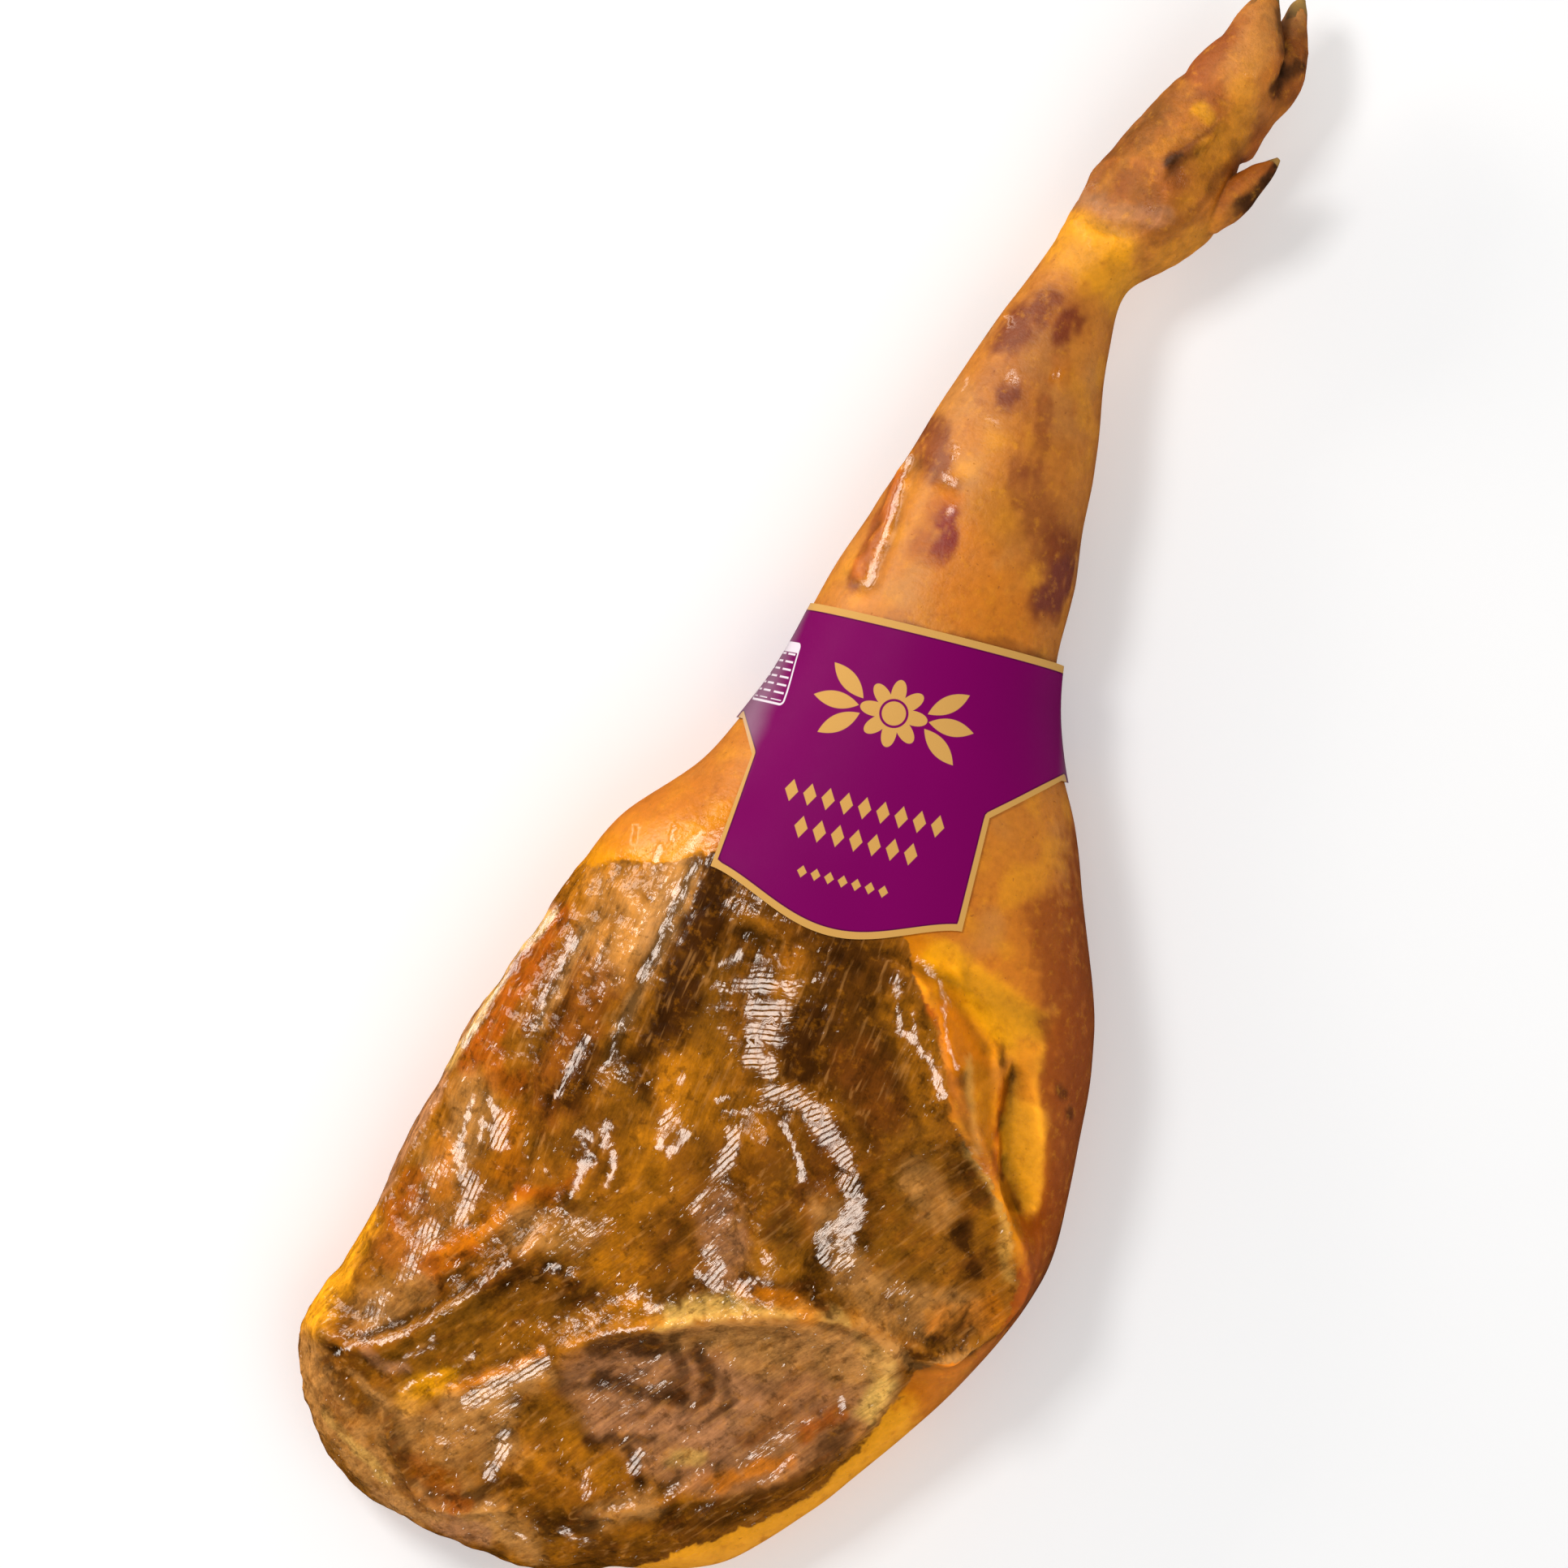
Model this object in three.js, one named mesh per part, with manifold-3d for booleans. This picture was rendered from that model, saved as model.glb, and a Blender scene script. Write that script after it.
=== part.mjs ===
// A cured shoulder ham lying on its rind with the cut meat side up, and the card band round its shank.
// Millimetres: +Y runs from the butt to the foot, +X to the right of the meat side, +Z up.
// The origin is on the floor, under the middle of the ham.
import * as THREE from 'three';
import { mergeVertices } from 'three/addons/utils/BufferGeometryUtils.js';
import Module from 'manifold-3d';

const wasm = await Module();
wasm.setup();

// The ham's sections from butt to foot: y, left edge, right edge, underside, top
const SECTIONS = [
  [-350.5, -62, -34, 22, 30],
  [-347, -84, -1, 12, 41],
  [-336, -106, 20.5, 6, 50],
  [-318, -121, 57.5, 2, 59],
  [-295, -131.5, 76.5, -2, 66],
  [-255, -124, 99.5, -3, 75],
  [-205, -122.5, 120.2, -2.5, 83],
  [-155, -117.7, 131.2, -2, 90],
  [-100, -106.5, 121.7, -2, 94],
  [-60, -97.5, 109.5, -1, 93],
  [-25, -76.7, 90, 3, 89],
  [10, -66, 70, 7, 84],
  [30, -62.8, 54.8, 8, 81],
  [50, -61.2, 43, 9, 78],
  [70, -59.2, 35.7, 10.5, 76],
  [90, -55.6, 32.9, 12, 74],
  [100, -54.3, 31, 12.8, 73],
  [120, -50.6, 24.3, 14.3, 71],
  [140, -48, 19.8, 16, 69],
  [185, -40, 6, 20, 62],
  [212, -34, 2, 22, 58],
  [232, -31, 16, 19, 62],
  [252, -29, 25, 17, 66],
  [276, -21.5, 22, 19, 64],
  [300, -13, 26, 21, 62],
  [312, -3, 25, 26, 57],
  [318, 4, 18, 33, 51],
];
const EDGE_HEIGHT = 0.42;        // height of the widest line, as a share of the thickness
const SHANK_FULLNESS = 2.05;     // 2 is an ellipse, more is squarer
const MEAT_FULLNESS = 2.35;
const RIND_FULLNESS = 2.05;
const SHANK_START = [-60, 60];   // y over which the full meat side turns into the round shank

// The rounded toes and dewclaws: x, y, z, half width, half height from root to tip
const HOOVES = {
  nearToe: [
    [2, 278, 45, 16, 15],
    [5, 300, 49, 17, 14],
    [8, 317, 50, 14, 12.5],
    [6.5, 330, 49, 9.5, 9.5],
    [6, 339, 48, 5.5, 6],
    [6.3, 347.5, 46, 1.5, 1.8],
  ],
  farToe: [
    [13, 280, 38, 13, 13],
    [15.5, 300, 37, 13, 13],
    [21, 315, 36, 12, 12.5],
    [21.5, 327, 36, 8.5, 10.5],
    [19.8, 337, 36, 5.4, 7.5],
    [18.8, 344, 36, 3.6, 4.5],
    [18.8, 348, 36, 1.2, 1.5],
  ],
  nearDewclaw: [
    [18, 250, 45, 7, 6.5],
    [24.5, 261, 49, 7.6, 6.6],
    [28.5, 270, 50, 6.2, 5.6],
    [33, 278.5, 50, 3.6, 3.4],
    [35.4, 284, 49.5, 0.9, 0.9],
  ],
  farDewclaw: [
    [13, 248, 33, 6.5, 6.5],
    [19, 259, 29, 7.2, 6.2],
    [24.5, 268, 26.5, 5.8, 5.2],
    [29, 276, 25.5, 3.4, 3.2],
    [31.4, 281, 25, 0.9, 0.9],
  ],
};

// Muscles, tendons and folds of the meat side: a path in x and y, half width, height
const FOLDS = {
  spine: [[[-33, -78], [-20, -96], [-10, -125], [10, -134], [38, -148], [50, -165], [46, -182]], 17, 6],
  innerMuscle: [[[-7, -150], [-2, -171], [4, -190], [10, -207]], 15, 5],
  muscleGap: [[[9, -150], [20, -181], [30, -195]], 10, -5],
  leftValley: [[[-48, -78], [-43, -109], [-37, -135], [-31, -165]], 12, -4.5],
  tendon: [[[-61, -64], [-61, -94], [-61, -122], [-62, -143]], 6, 3],
  tendonGroove: [[[-73, -90], [-75, -130], [-76, -160]], 7, -2.2],
  sideTendon: [[[-90, -98], [-93, -118], [-93, -136], [-91, -156]], 6, 2.2],
  buttRidge: [[[-57, -208], [-76, -241], [-94, -272], [-114, -280]], 8, 3.5],
  buttCrease: [[[-57, -221], [-76, -254], [-98, -286], [-118, -292]], 8, -4],
  ovalGroove: [[[-31, -257], [-20, -245], [1, -231], [19, -221], [50, -205], [69, -201], [85, -204]], 9, -5],
  fatGroove: [[[23, -68], [44, -76], [66, -101], [92, -127], [118, -154], [120, -177], [106, -202]], 8, -3.5],
  fatLobe: [[[87, -90], [95, -110], [106, -125], [113, -137]], 9, 5],
  fatRidge: [[[32, -62], [40, -62], [56, -66], [85, -64]], 9, 3],
  fatRim: [[[56, -305], [80, -283], [90, -258], [99, -234], [101, -214]], 9, 3],
  lowRidge: [[[-39, -288], [-40, -314]], 8, 4],
  shankFold: [[[-49, 115], [-49, 100], [-47, 81], [-46, 66]], 6, 3],
};

// Rounded muscle bulges: centre x, y, long half axis, short half axis, turn in degrees, height
const BULGES = {
  ovalMuscle: [28, -258, 72, 36, 31, 7],
  rightMuscle: [80, -165, 52, 40, 60, 5],
  leftMuscle: [-95, -205, 44, 24, 75, 4],
  knuckle: [-16, 243, 18, 16, 0, 3],
};
const RELIEF_START = 0.12;       // relief fades in from the edge line, as a share of the way up
const RELIEF_FULL = 0.45;

// The card band: measured along its own axis, which leans left from the shank's
const BAND_LEAN = THREE.MathUtils.degToRad(10);
const CARD_GAP = 0.5;
const CARD_THICKNESS = 0.7;
const CARD_FLARE = 2.1;          // how much further the top right corner stands off
const BAND_TOP = 58.8;
const BAND_FOOT = { left: [-68, 7.8], right: [60, 14.3] };
const TONGUE = {
  leftNotch: [-60.8, -5.2],
  leftCorner: [-65.8, -51.2],
  rightCorner: [34.9, -52.3],
  rightNotch: [35, -7],
  sag: 14.4,
};
const TONGUE_FLOOR = 40;         // the tongue is only on the meat side, above this height
const RELIEF_CLEAR = 8;          // relief fades out over this distance from the card

// Mesh fineness
const TOP_SIDES = 34;
const UNDER_SIDES = 18;
const CROWDING = 0.3;            // how much closer the points stand on the crown than at the edge
const RING_STEP = { body: 8.2, shank: 14, foot: 9.5 };
const SHANK_RANGE = [-20, 205];
const TOE_SIDES = 12;
const CARD_ROWS = 9;

const { clamp, lerp, smoothstep, degToRad } = THREE.MathUtils;

// A smooth run through rows of numbers, spaced by how far each row is from the one before
function smoothRun(rows) {
  const knots = [0];
  for (let i = 1; i < rows.length; i += 1) {
    knots.push(knots[i - 1] + Math.hypot(...rows[i].map((value, k) => value - rows[i - 1][k])));
  }
  const last = rows.length - 1;
  const slope = (i, k) => {
    const before = Math.max(i - 1, 0);
    const after = Math.min(i + 1, last);
    return (rows[after][k] - rows[before][k]) / (knots[after] - knots[before]);
  };
  const at = (distance) => {
    let i = 0;
    while (i < last - 1 && knots[i + 1] < distance) i += 1;
    const span = knots[i + 1] - knots[i];
    const u = clamp((distance - knots[i]) / span, 0, 1);
    const rise = u * u * (3 - 2 * u);
    return rows[i].map((value, k) => lerp(value, rows[i + 1][k], rise)
      + span * u * (1 - u) * ((1 - u) * slope(i, k) - u * slope(i + 1, k)));
  };
  return { length: knots[last], at };
}

const hamRun = smoothRun(SECTIONS);

// A point of the ham's plain form, at a distance along the run and an angle round the section
function hamPoint(distance, angle, standOff = 0) {
  const [y, left, right, low, high] = hamRun.at(distance);
  const middle = (left + right) / 2;
  const edge = low + EDGE_HEIGHT * (high - low);
  const across = Math.cos(angle);
  const up = Math.sin(angle);
  const topFullness = lerp(MEAT_FULLNESS, SHANK_FULLNESS, smoothstep(y, ...SHANK_START));
  const fullness = up > 0 ? topFullness : RIND_FULLNESS;
  const swell = (Math.abs(across) ** fullness + Math.abs(up) ** fullness) ** (-1 / fullness);
  const halfWidth = (right - left) / 2 + standOff;
  const halfHeight = (up > 0 ? high - edge : edge - low) + standOff;
  return new THREE.Vector3(middle + halfWidth * swell * across, y, edge + halfHeight * swell * up);
}

// The angles of one ring, from the right edge over the crown and back underneath
function ringAngles() {
  const angles = [];
  for (let i = 0; i < TOP_SIDES; i += 1) {
    const even = (Math.PI * i) / TOP_SIDES;
    angles.push(even + (CROWDING / 2) * Math.sin(2 * even));
  }
  for (let i = 0; i < UNDER_SIDES; i += 1) {
    angles.push(Math.PI + (Math.PI * i) / UNDER_SIDES);
  }
  return angles;
}

// A closed skin over rings of equally many points, with a fan on each end
function skinOver(rings) {
  const sides = rings[0].length;
  const points = rings.flat();
  const faces = [];
  for (let r = 0; r + 1 < rings.length; r += 1) {
    for (let i = 0; i < sides; i += 1) {
      const a = r * sides + i;
      const b = r * sides + ((i + 1) % sides);
      faces.push(a, b + sides, b, a, a + sides, b + sides);
    }
  }
  for (const [start, outward] of [[0, 1], [(rings.length - 1) * sides, -1]]) {
    const centre = new THREE.Vector3();
    for (let i = 0; i < sides; i += 1) centre.addScaledVector(points[start + i], 1 / sides);
    points.push(centre);
    for (let i = 0; i < sides; i += 1) {
      const a = start + i;
      const b = start + ((i + 1) % sides);
      faces.push(points.length - 1, ...(outward > 0 ? [a, b] : [b, a]));
    }
  }
  const geometry = new THREE.BufferGeometry().setFromPoints(points);
  geometry.setIndex(faces);
  return geometry;
}

function toSolid(geometry) {
  const bare = geometry.clone();
  bare.deleteAttribute('normal');
  bare.deleteAttribute('uv');
  const merged = mergeVertices(bare);
  return new wasm.Manifold(new wasm.Mesh({
    numProp: 3,
    vertProperties: new Float32Array(merged.attributes.position.array),
    triVerts: new Uint32Array(merged.index.array),
  }));
}

function toGeometry(solid) {
  const { numProp, vertProperties, triVerts } = solid.getMesh();
  const count = vertProperties.length / numProp;
  const positions = new Float32Array(3 * count);
  for (let i = 0; i < count; i += 1) {
    for (let k = 0; k < 3; k += 1) positions[3 * i + k] = vertProperties[i * numProp + k];
  }
  const geometry = new THREE.BufferGeometry();
  geometry.setAttribute('position', new THREE.BufferAttribute(positions, 3));
  geometry.setIndex(Array.from(triVerts));
  geometry.computeVertexNormals();
  return geometry;
}

// Plan places measured along the band's own leaning axis
const toBand = (x, y) => [
  x * Math.cos(BAND_LEAN) + y * Math.sin(BAND_LEAN),
  y * Math.cos(BAND_LEAN) - x * Math.sin(BAND_LEAN),
];
const fromBand = ([s, w]) => new THREE.Vector2(
  s * Math.cos(BAND_LEAN) - w * Math.sin(BAND_LEAN),
  w * Math.cos(BAND_LEAN) + s * Math.sin(BAND_LEAN),
);

// The band's lower edge on the underside, straight from side to side
const bandFoot = (s) => {
  const [leftS, leftW] = BAND_FOOT.left;
  const [rightS, rightW] = BAND_FOOT.right;
  return lerp(leftW, rightW, clamp((s - leftS) / (rightS - leftS), 0, 1));
};

// 1 well clear of the card, 0 under it
function clearOfCard(x, y) {
  const [s, w] = toBand(x, y);
  const overTongue = Math.max(
    TONGUE.leftCorner[0] - s,
    s - TONGUE.rightCorner[0],
    TONGUE.leftCorner[1] - TONGUE.sag - w,
    w,
  );
  const footLine = Math.min(bandFoot(s), TONGUE.rightNotch[1] + Math.abs(s - TONGUE.rightNotch[0]));
  const overBand = Math.max(footLine - w, w - BAND_TOP);
  return smoothstep(Math.min(overTongue, overBand), 0, RELIEF_CLEAR);
}

const foldPaths = Object.values(FOLDS).map(([path, halfWidth, height]) => {
  const curve = new THREE.CatmullRomCurve3(path.map(([x, y]) => new THREE.Vector3(x, y, 0)));
  return { points: curve.getPoints(6 * path.length), halfWidth, height };
});

// Height that the folds and bulges add to the plain form
function relief(x, y) {
  const here = new THREE.Vector3(x, y, 0);
  const nearest = new THREE.Vector3();
  const segment = new THREE.Line3();
  let height = 0;
  for (const fold of foldPaths) {
    let distance = Infinity;
    for (let i = 0; i + 1 < fold.points.length; i += 1) {
      segment.set(fold.points[i], fold.points[i + 1]).closestPointToPoint(here, true, nearest);
      distance = Math.min(distance, nearest.distanceTo(here));
    }
    height += fold.height * Math.exp(-((distance / fold.halfWidth) ** 2));
  }
  for (const [centreX, centreY, long, short, turn, rise] of Object.values(BULGES)) {
    const angle = degToRad(turn);
    const along = (x - centreX) * Math.cos(angle) + (y - centreY) * Math.sin(angle);
    const aside = (y - centreY) * Math.cos(angle) - (x - centreX) * Math.sin(angle);
    const inside = Math.max(0, 1 - (along / long) ** 2 - (aside / short) ** 2);
    height += rise * inside * (2 - inside);
  }
  return height * clearOfCard(x, y);
}

// A point of the finished ham: the plain form, its relief on the meat side and its flat resting spot
function hamSurface(distance, angle) {
  const point = hamPoint(distance, angle);
  const up = Math.sin(angle);
  if (up > RELIEF_START) {
    const tiny = 0.01;
    const along = hamPoint(distance + tiny, angle).sub(hamPoint(distance - tiny, angle));
    const round = hamPoint(distance, angle + tiny).sub(hamPoint(distance, angle - tiny));
    const normal = round.cross(along).normalize();
    const share = smoothstep(up, RELIEF_START, RELIEF_FULL);
    point.addScaledVector(normal, share * relief(point.x, point.y));
  }
  point.z = Math.max(point.z, 0);
  return point;
}

function ringDistances() {
  const distances = [];
  let distance = 0;
  while (distance < hamRun.length) {
    distances.push(distance);
    const [y] = hamRun.at(distance);
    if (y < SHANK_RANGE[0]) distance += RING_STEP.body;
    else if (y < SHANK_RANGE[1]) distance += RING_STEP.shank;
    else distance += RING_STEP.foot;
  }
  distances[distances.length - 1] = hamRun.length;
  return distances;
}

// A tapering rounded body round a path of stops, each x, y, z, half width and half height
function taperedBody(stops) {
  const run = smoothRun(stops);
  const count = 2 * stops.length;
  const rings = [];
  for (let i = 0; i <= count; i += 1) {
    const distance = (run.length * i) / count;
    const [x, y, z, halfWidth, halfHeight] = run.at(distance);
    const ahead = new THREE.Vector3(...run.at(distance + 0.5));
    const heading = ahead.sub(new THREE.Vector3(...run.at(distance - 0.5))).normalize();
    const side = new THREE.Vector3().crossVectors(heading, new THREE.Vector3(0, 0, 1)).normalize();
    const rise = new THREE.Vector3().crossVectors(side, heading);
    const ring = [];
    for (let k = 0; k < TOE_SIDES; k += 1) {
      const angle = (2 * Math.PI * k) / TOE_SIDES;
      ring.push(new THREE.Vector3(x, y, z)
        .addScaledVector(side, halfWidth * Math.cos(angle))
        .addScaledVector(rise, halfHeight * Math.sin(angle)));
    }
    rings.push(ring);
  }
  return skinOver(rings);
}

function makeHam() {
  const angles = ringAngles();
  const rings = ringDistances().map((distance) => angles.map((angle) => hamSurface(distance, angle)));
  let solid = toSolid(skinOver(rings));
  for (const stops of Object.values(HOOVES)) solid = solid.add(toSolid(taperedBody(stops)));
  return toGeometry(solid);
}

// The distance along the run where the plain form meets a height w on the band's axis
function distanceAtBand(w, angle, standOff) {
  let low = 0;
  let high = hamRun.length;
  const halvings = 24;
  for (let i = 0; i < halvings; i += 1) {
    const middle = (low + high) / 2;
    const point = hamPoint(middle, angle, standOff);
    if (toBand(point.x, point.y)[1] < w) low = middle;
    else high = middle;
  }
  return (low + high) / 2;
}

// How far the card stands off the ham: most at its top right corner
function cardStandOff(w, angle) {
  const towardsRight = Math.max(0, Math.cos(angle));
  const towardsTop = smoothstep(w, BAND_FOOT.right[1] - BAND_TOP / 2, BAND_TOP);
  return CARD_GAP + CARD_FLARE * towardsRight ** 3 * towardsTop;
}

// A sleeve of card round the shank, longer than the band, which is then cut out of it
function cardSleeve() {
  const angles = ringAngles();
  const spare = 6;
  const bottom = TONGUE.leftCorner[1] - TONGUE.sag - spare;
  const top = BAND_TOP + spare;
  const shells = [0, CARD_THICKNESS].map((thickness) => {
    const rows = [];
    for (let r = 0; r <= CARD_ROWS; r += 1) {
      const w = lerp(bottom, top, r / CARD_ROWS);
      rows.push(angles.map((angle) => {
        const standOff = cardStandOff(w, angle) + thickness;
        return hamPoint(distanceAtBand(w, angle, standOff), angle, standOff);
      }));
    }
    return rows;
  });
  const [inner, outer] = shells;
  const loop = [...outer, ...inner.reverse()];
  const sides = angles.length;
  const faces = [];
  for (let r = 0; r < loop.length; r += 1) {
    const next = (r + 1) % loop.length;
    for (let i = 0; i < sides; i += 1) {
      const j = (i + 1) % sides;
      faces.push(r * sides + i, next * sides + j, r * sides + j);
      faces.push(r * sides + i, next * sides + i, next * sides + j);
    }
  }
  const geometry = new THREE.BufferGeometry().setFromPoints(loop.flat());
  geometry.setIndex(faces);
  return geometry;
}

function planPrism(outline, floor, ceiling) {
  const geometry = new THREE.ExtrudeGeometry(new THREE.Shape(outline.map(fromBand)), {
    depth: ceiling - floor,
    bevelEnabled: false,
  });
  return toSolid(geometry.translate(0, 0, floor));
}

// The tongue's lower edge, a shallow bow between its two corners
function tongueEdge() {
  const steps = 16;
  const roundness = 1.5;
  const [leftS, leftW] = TONGUE.leftCorner;
  const [rightS, rightW] = TONGUE.rightCorner;
  const points = [];
  for (let i = 0; i <= steps; i += 1) {
    const share = i / steps;
    const bow = Math.sin(Math.PI * share) ** roundness;
    points.push([lerp(leftS, rightS, share), lerp(leftW, rightW, share) - TONGUE.sag * bow]);
  }
  return points;
}

function makeBand() {
  const below = -10;
  const above = 130;
  const beside = 110;
  const loop = planPrism([
    [-beside, BAND_TOP],
    [-beside, BAND_FOOT.left[1]],
    BAND_FOOT.left,
    BAND_FOOT.right,
    [beside, BAND_FOOT.right[1]],
    [beside, BAND_TOP],
  ], below, above);
  const tongue = planPrism([
    BAND_FOOT.left,
    TONGUE.leftNotch,
    ...tongueEdge(),
    TONGUE.rightNotch,
    BAND_FOOT.right,
    [BAND_FOOT.right[0] - 10, BAND_TOP - 10],
    [BAND_FOOT.left[0] + 10, BAND_TOP - 10],
  ], TONGUE_FLOOR, above);
  return toGeometry(toSolid(cardSleeve()).intersect(loop.add(tongue)));
}

const curedMeat = new THREE.MeshStandardMaterial({ color: 0x9a5a1c, roughness: 0.4, metalness: 0 });
const printedCard = new THREE.MeshStandardMaterial({ color: 0x80005f, roughness: 0.35, metalness: 0 });

const shoulderHam = new THREE.Group();
const ham = new THREE.Mesh(makeHam(), curedMeat);
ham.name = 'ham';
const band = new THREE.Mesh(makeBand(), printedCard);
band.name = 'card_band';
shoulderHam.add(ham, band);

export default shoulderHam;
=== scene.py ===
"""Models a cured shoulder ham lying on its rind, with the printed card band round its shank."""

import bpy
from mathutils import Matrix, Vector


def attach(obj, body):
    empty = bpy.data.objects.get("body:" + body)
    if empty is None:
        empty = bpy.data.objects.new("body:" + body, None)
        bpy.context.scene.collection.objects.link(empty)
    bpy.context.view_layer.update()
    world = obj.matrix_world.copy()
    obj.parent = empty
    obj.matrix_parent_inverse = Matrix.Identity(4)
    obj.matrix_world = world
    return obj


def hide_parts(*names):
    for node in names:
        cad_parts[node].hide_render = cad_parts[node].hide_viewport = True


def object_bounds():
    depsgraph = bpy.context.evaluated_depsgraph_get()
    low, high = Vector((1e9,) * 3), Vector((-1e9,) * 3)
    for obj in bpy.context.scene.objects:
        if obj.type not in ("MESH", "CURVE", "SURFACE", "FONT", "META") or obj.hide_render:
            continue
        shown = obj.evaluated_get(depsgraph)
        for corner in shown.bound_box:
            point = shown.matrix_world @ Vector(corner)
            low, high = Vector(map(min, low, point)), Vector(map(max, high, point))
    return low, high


bl_info = {
    "name": "Cured Shoulder Ham",
    "version": (1, 0, 0),
    "blender": (4, 5, 0),
    "location": "3D View > Sidebar > Ham",
    "description": "Builds a cured shoulder ham, its printed card band and a pale studio",
    "category": "Add Mesh",
}

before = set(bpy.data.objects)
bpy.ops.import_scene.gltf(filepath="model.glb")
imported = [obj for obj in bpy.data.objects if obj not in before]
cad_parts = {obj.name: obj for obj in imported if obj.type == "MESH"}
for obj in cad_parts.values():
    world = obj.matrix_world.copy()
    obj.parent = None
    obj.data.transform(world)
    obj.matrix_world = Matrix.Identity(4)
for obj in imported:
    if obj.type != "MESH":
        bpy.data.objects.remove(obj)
cad_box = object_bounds()

import itertools
import math

import bmesh
import bpy
import numpy as np
from bpy.props import FloatProperty, FloatVectorProperty, IntProperty, PointerProperty
from mathutils import Vector

MM = 0.001
CAD_LOW = np.array(cad_box[0]) / MM
CAD_HIGH = np.array(cad_box[1]) / MM

# The ham's sections from butt to foot, in millimetres: y, left edge, right edge, underside, top
SECTIONS = [
    (-350.5, -62, -34, 22, 30),
    (-347, -84, -1, 12, 41),
    (-336, -106, 20.5, 6, 50),
    (-318, -121, 57.5, 2, 59),
    (-295, -131.5, 76.5, -2, 66),
    (-255, -124, 99.5, -3, 75),
    (-205, -122.5, 120.2, -2.5, 83),
    (-155, -117.7, 131.2, -2, 90),
    (-100, -106.5, 121.7, -2, 94),
    (-60, -97.5, 109.5, -1, 93),
    (-25, -76.7, 90, 3, 89),
    (10, -66, 70, 7, 84),
    (30, -62.8, 54.8, 8, 81),
    (50, -61.2, 43, 9, 78),
    (70, -59.2, 35.7, 10.5, 76),
    (90, -55.6, 32.9, 12, 74),
    (100, -54.3, 31, 12.8, 73),
    (120, -50.6, 24.3, 14.3, 71),
    (140, -48, 19.8, 16, 69),
    (185, -40, 6, 20, 62),
    (212, -34, 2, 22, 58),
    (232, -31, 16, 19, 62),
    (252, -29, 25, 17, 66),
    (276, -21.5, 22, 19, 64),
    (300, -13, 26, 21, 62),
    (312, -3, 25, 26, 57),
    (318, 4, 18, 33, 51),
]
# How high up a section its widest place is, and how square the section is there over and under it
EDGE_HEIGHT = 0.42
MEAT_FULLNESS = 2.35
SHANK_FULLNESS = 2.05
RIND_FULLNESS = 2.05
# Where along Y the section turns from the body's to the shank's, and where each length of the leg starts
SHANK_START = (-60, 60)
PLAIN_START = -20
FOOT_START = 205
HOOF_START = 244
# Inward corners between foot and toes are rounded where they are sharper than this, in radians
SHARPEST_CORNER = -0.35
# The sine of the angle round the section between which relief fades in above the edge
MAIN_SIDES = (0.12, 0.45)
CREASE_SIDES = (0.05, 0.4)

# Toes and dewclaws, in millimetres from root to tip: x, y, z, half width, half height
HOOVES = {
    "near_toe": [
        (2, 278, 45, 16, 15),
        (5, 300, 49, 17, 14),
        (8, 317, 50, 14, 12.5),
        (6.5, 330, 49, 9.5, 9.5),
        (6, 339, 48, 5.5, 6),
        (6.3, 347.5, 46, 1.5, 1.8),
    ],
    "far_toe": [
        (13, 280, 38, 13, 13),
        (15.5, 300, 37, 13, 13),
        (21, 315, 36, 12, 12.5),
        (21.5, 327, 36, 8.5, 10.5),
        (19.8, 337, 36, 5.4, 7.5),
        (18.8, 344, 36, 3.6, 4.5),
        (18.8, 348, 36, 1.2, 1.5),
    ],
    "near_dewclaw": [
        (18, 250, 45, 7, 6.5),
        (24.5, 261, 49, 7.6, 6.6),
        (28.5, 270, 50, 6.2, 5.6),
        (33, 278.5, 50, 3.6, 3.4),
        (35.4, 284, 49.5, 0.9, 0.9),
    ],
    "far_dewclaw": [
        (13, 248, 33, 6.5, 6.5),
        (19, 259, 29, 7.2, 6.2),
        (24.5, 268, 26.5, 5.8, 5.2),
        (29, 276, 25.5, 3.4, 3.2),
        (31.4, 281, 25, 0.9, 0.9),
    ],
}

# Angles of the muscle fibres from +X, where they run up the leg and where they run slanted
STRAIGHT_FIBRES = 91
SLANTED_FIBRES = 60

# Noises that are added up: share, size in millimetres, seed
LUMPS = [(0.7, 36, 5), (0.7, 16, 6), (0.45, 8, 7)]
RIND_DENTS = [(0.8, 55, 13), (0.4, 22, 14)]
FOOT_KNOBS = [(0.7, 13, 15), (0.5, 6, 16)]
RAGGED_RIM = [(2.5, 14, 1), (1.2, 5, 2)]
PAINT_WANDER = ([(1, 24, 21), (0.5, 8, 22)], [(1, 24, 23), (0.5, 8, 24)])
PAINT_UNEVEN = [(0.5, 7, 26), (0.5, 3.6, 27)]
GLEAM_WANDER = ([(1.4, 6, 41), (0.8, 3, 42)], [(1.4, 6, 43), (0.8, 3, 44)])

# Height of the knobs and of the long wrinkles on toes and dewclaws, in millimetres
HOOF_KNOBS = 0.35
HOOF_WRINKLES = 0.2

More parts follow.
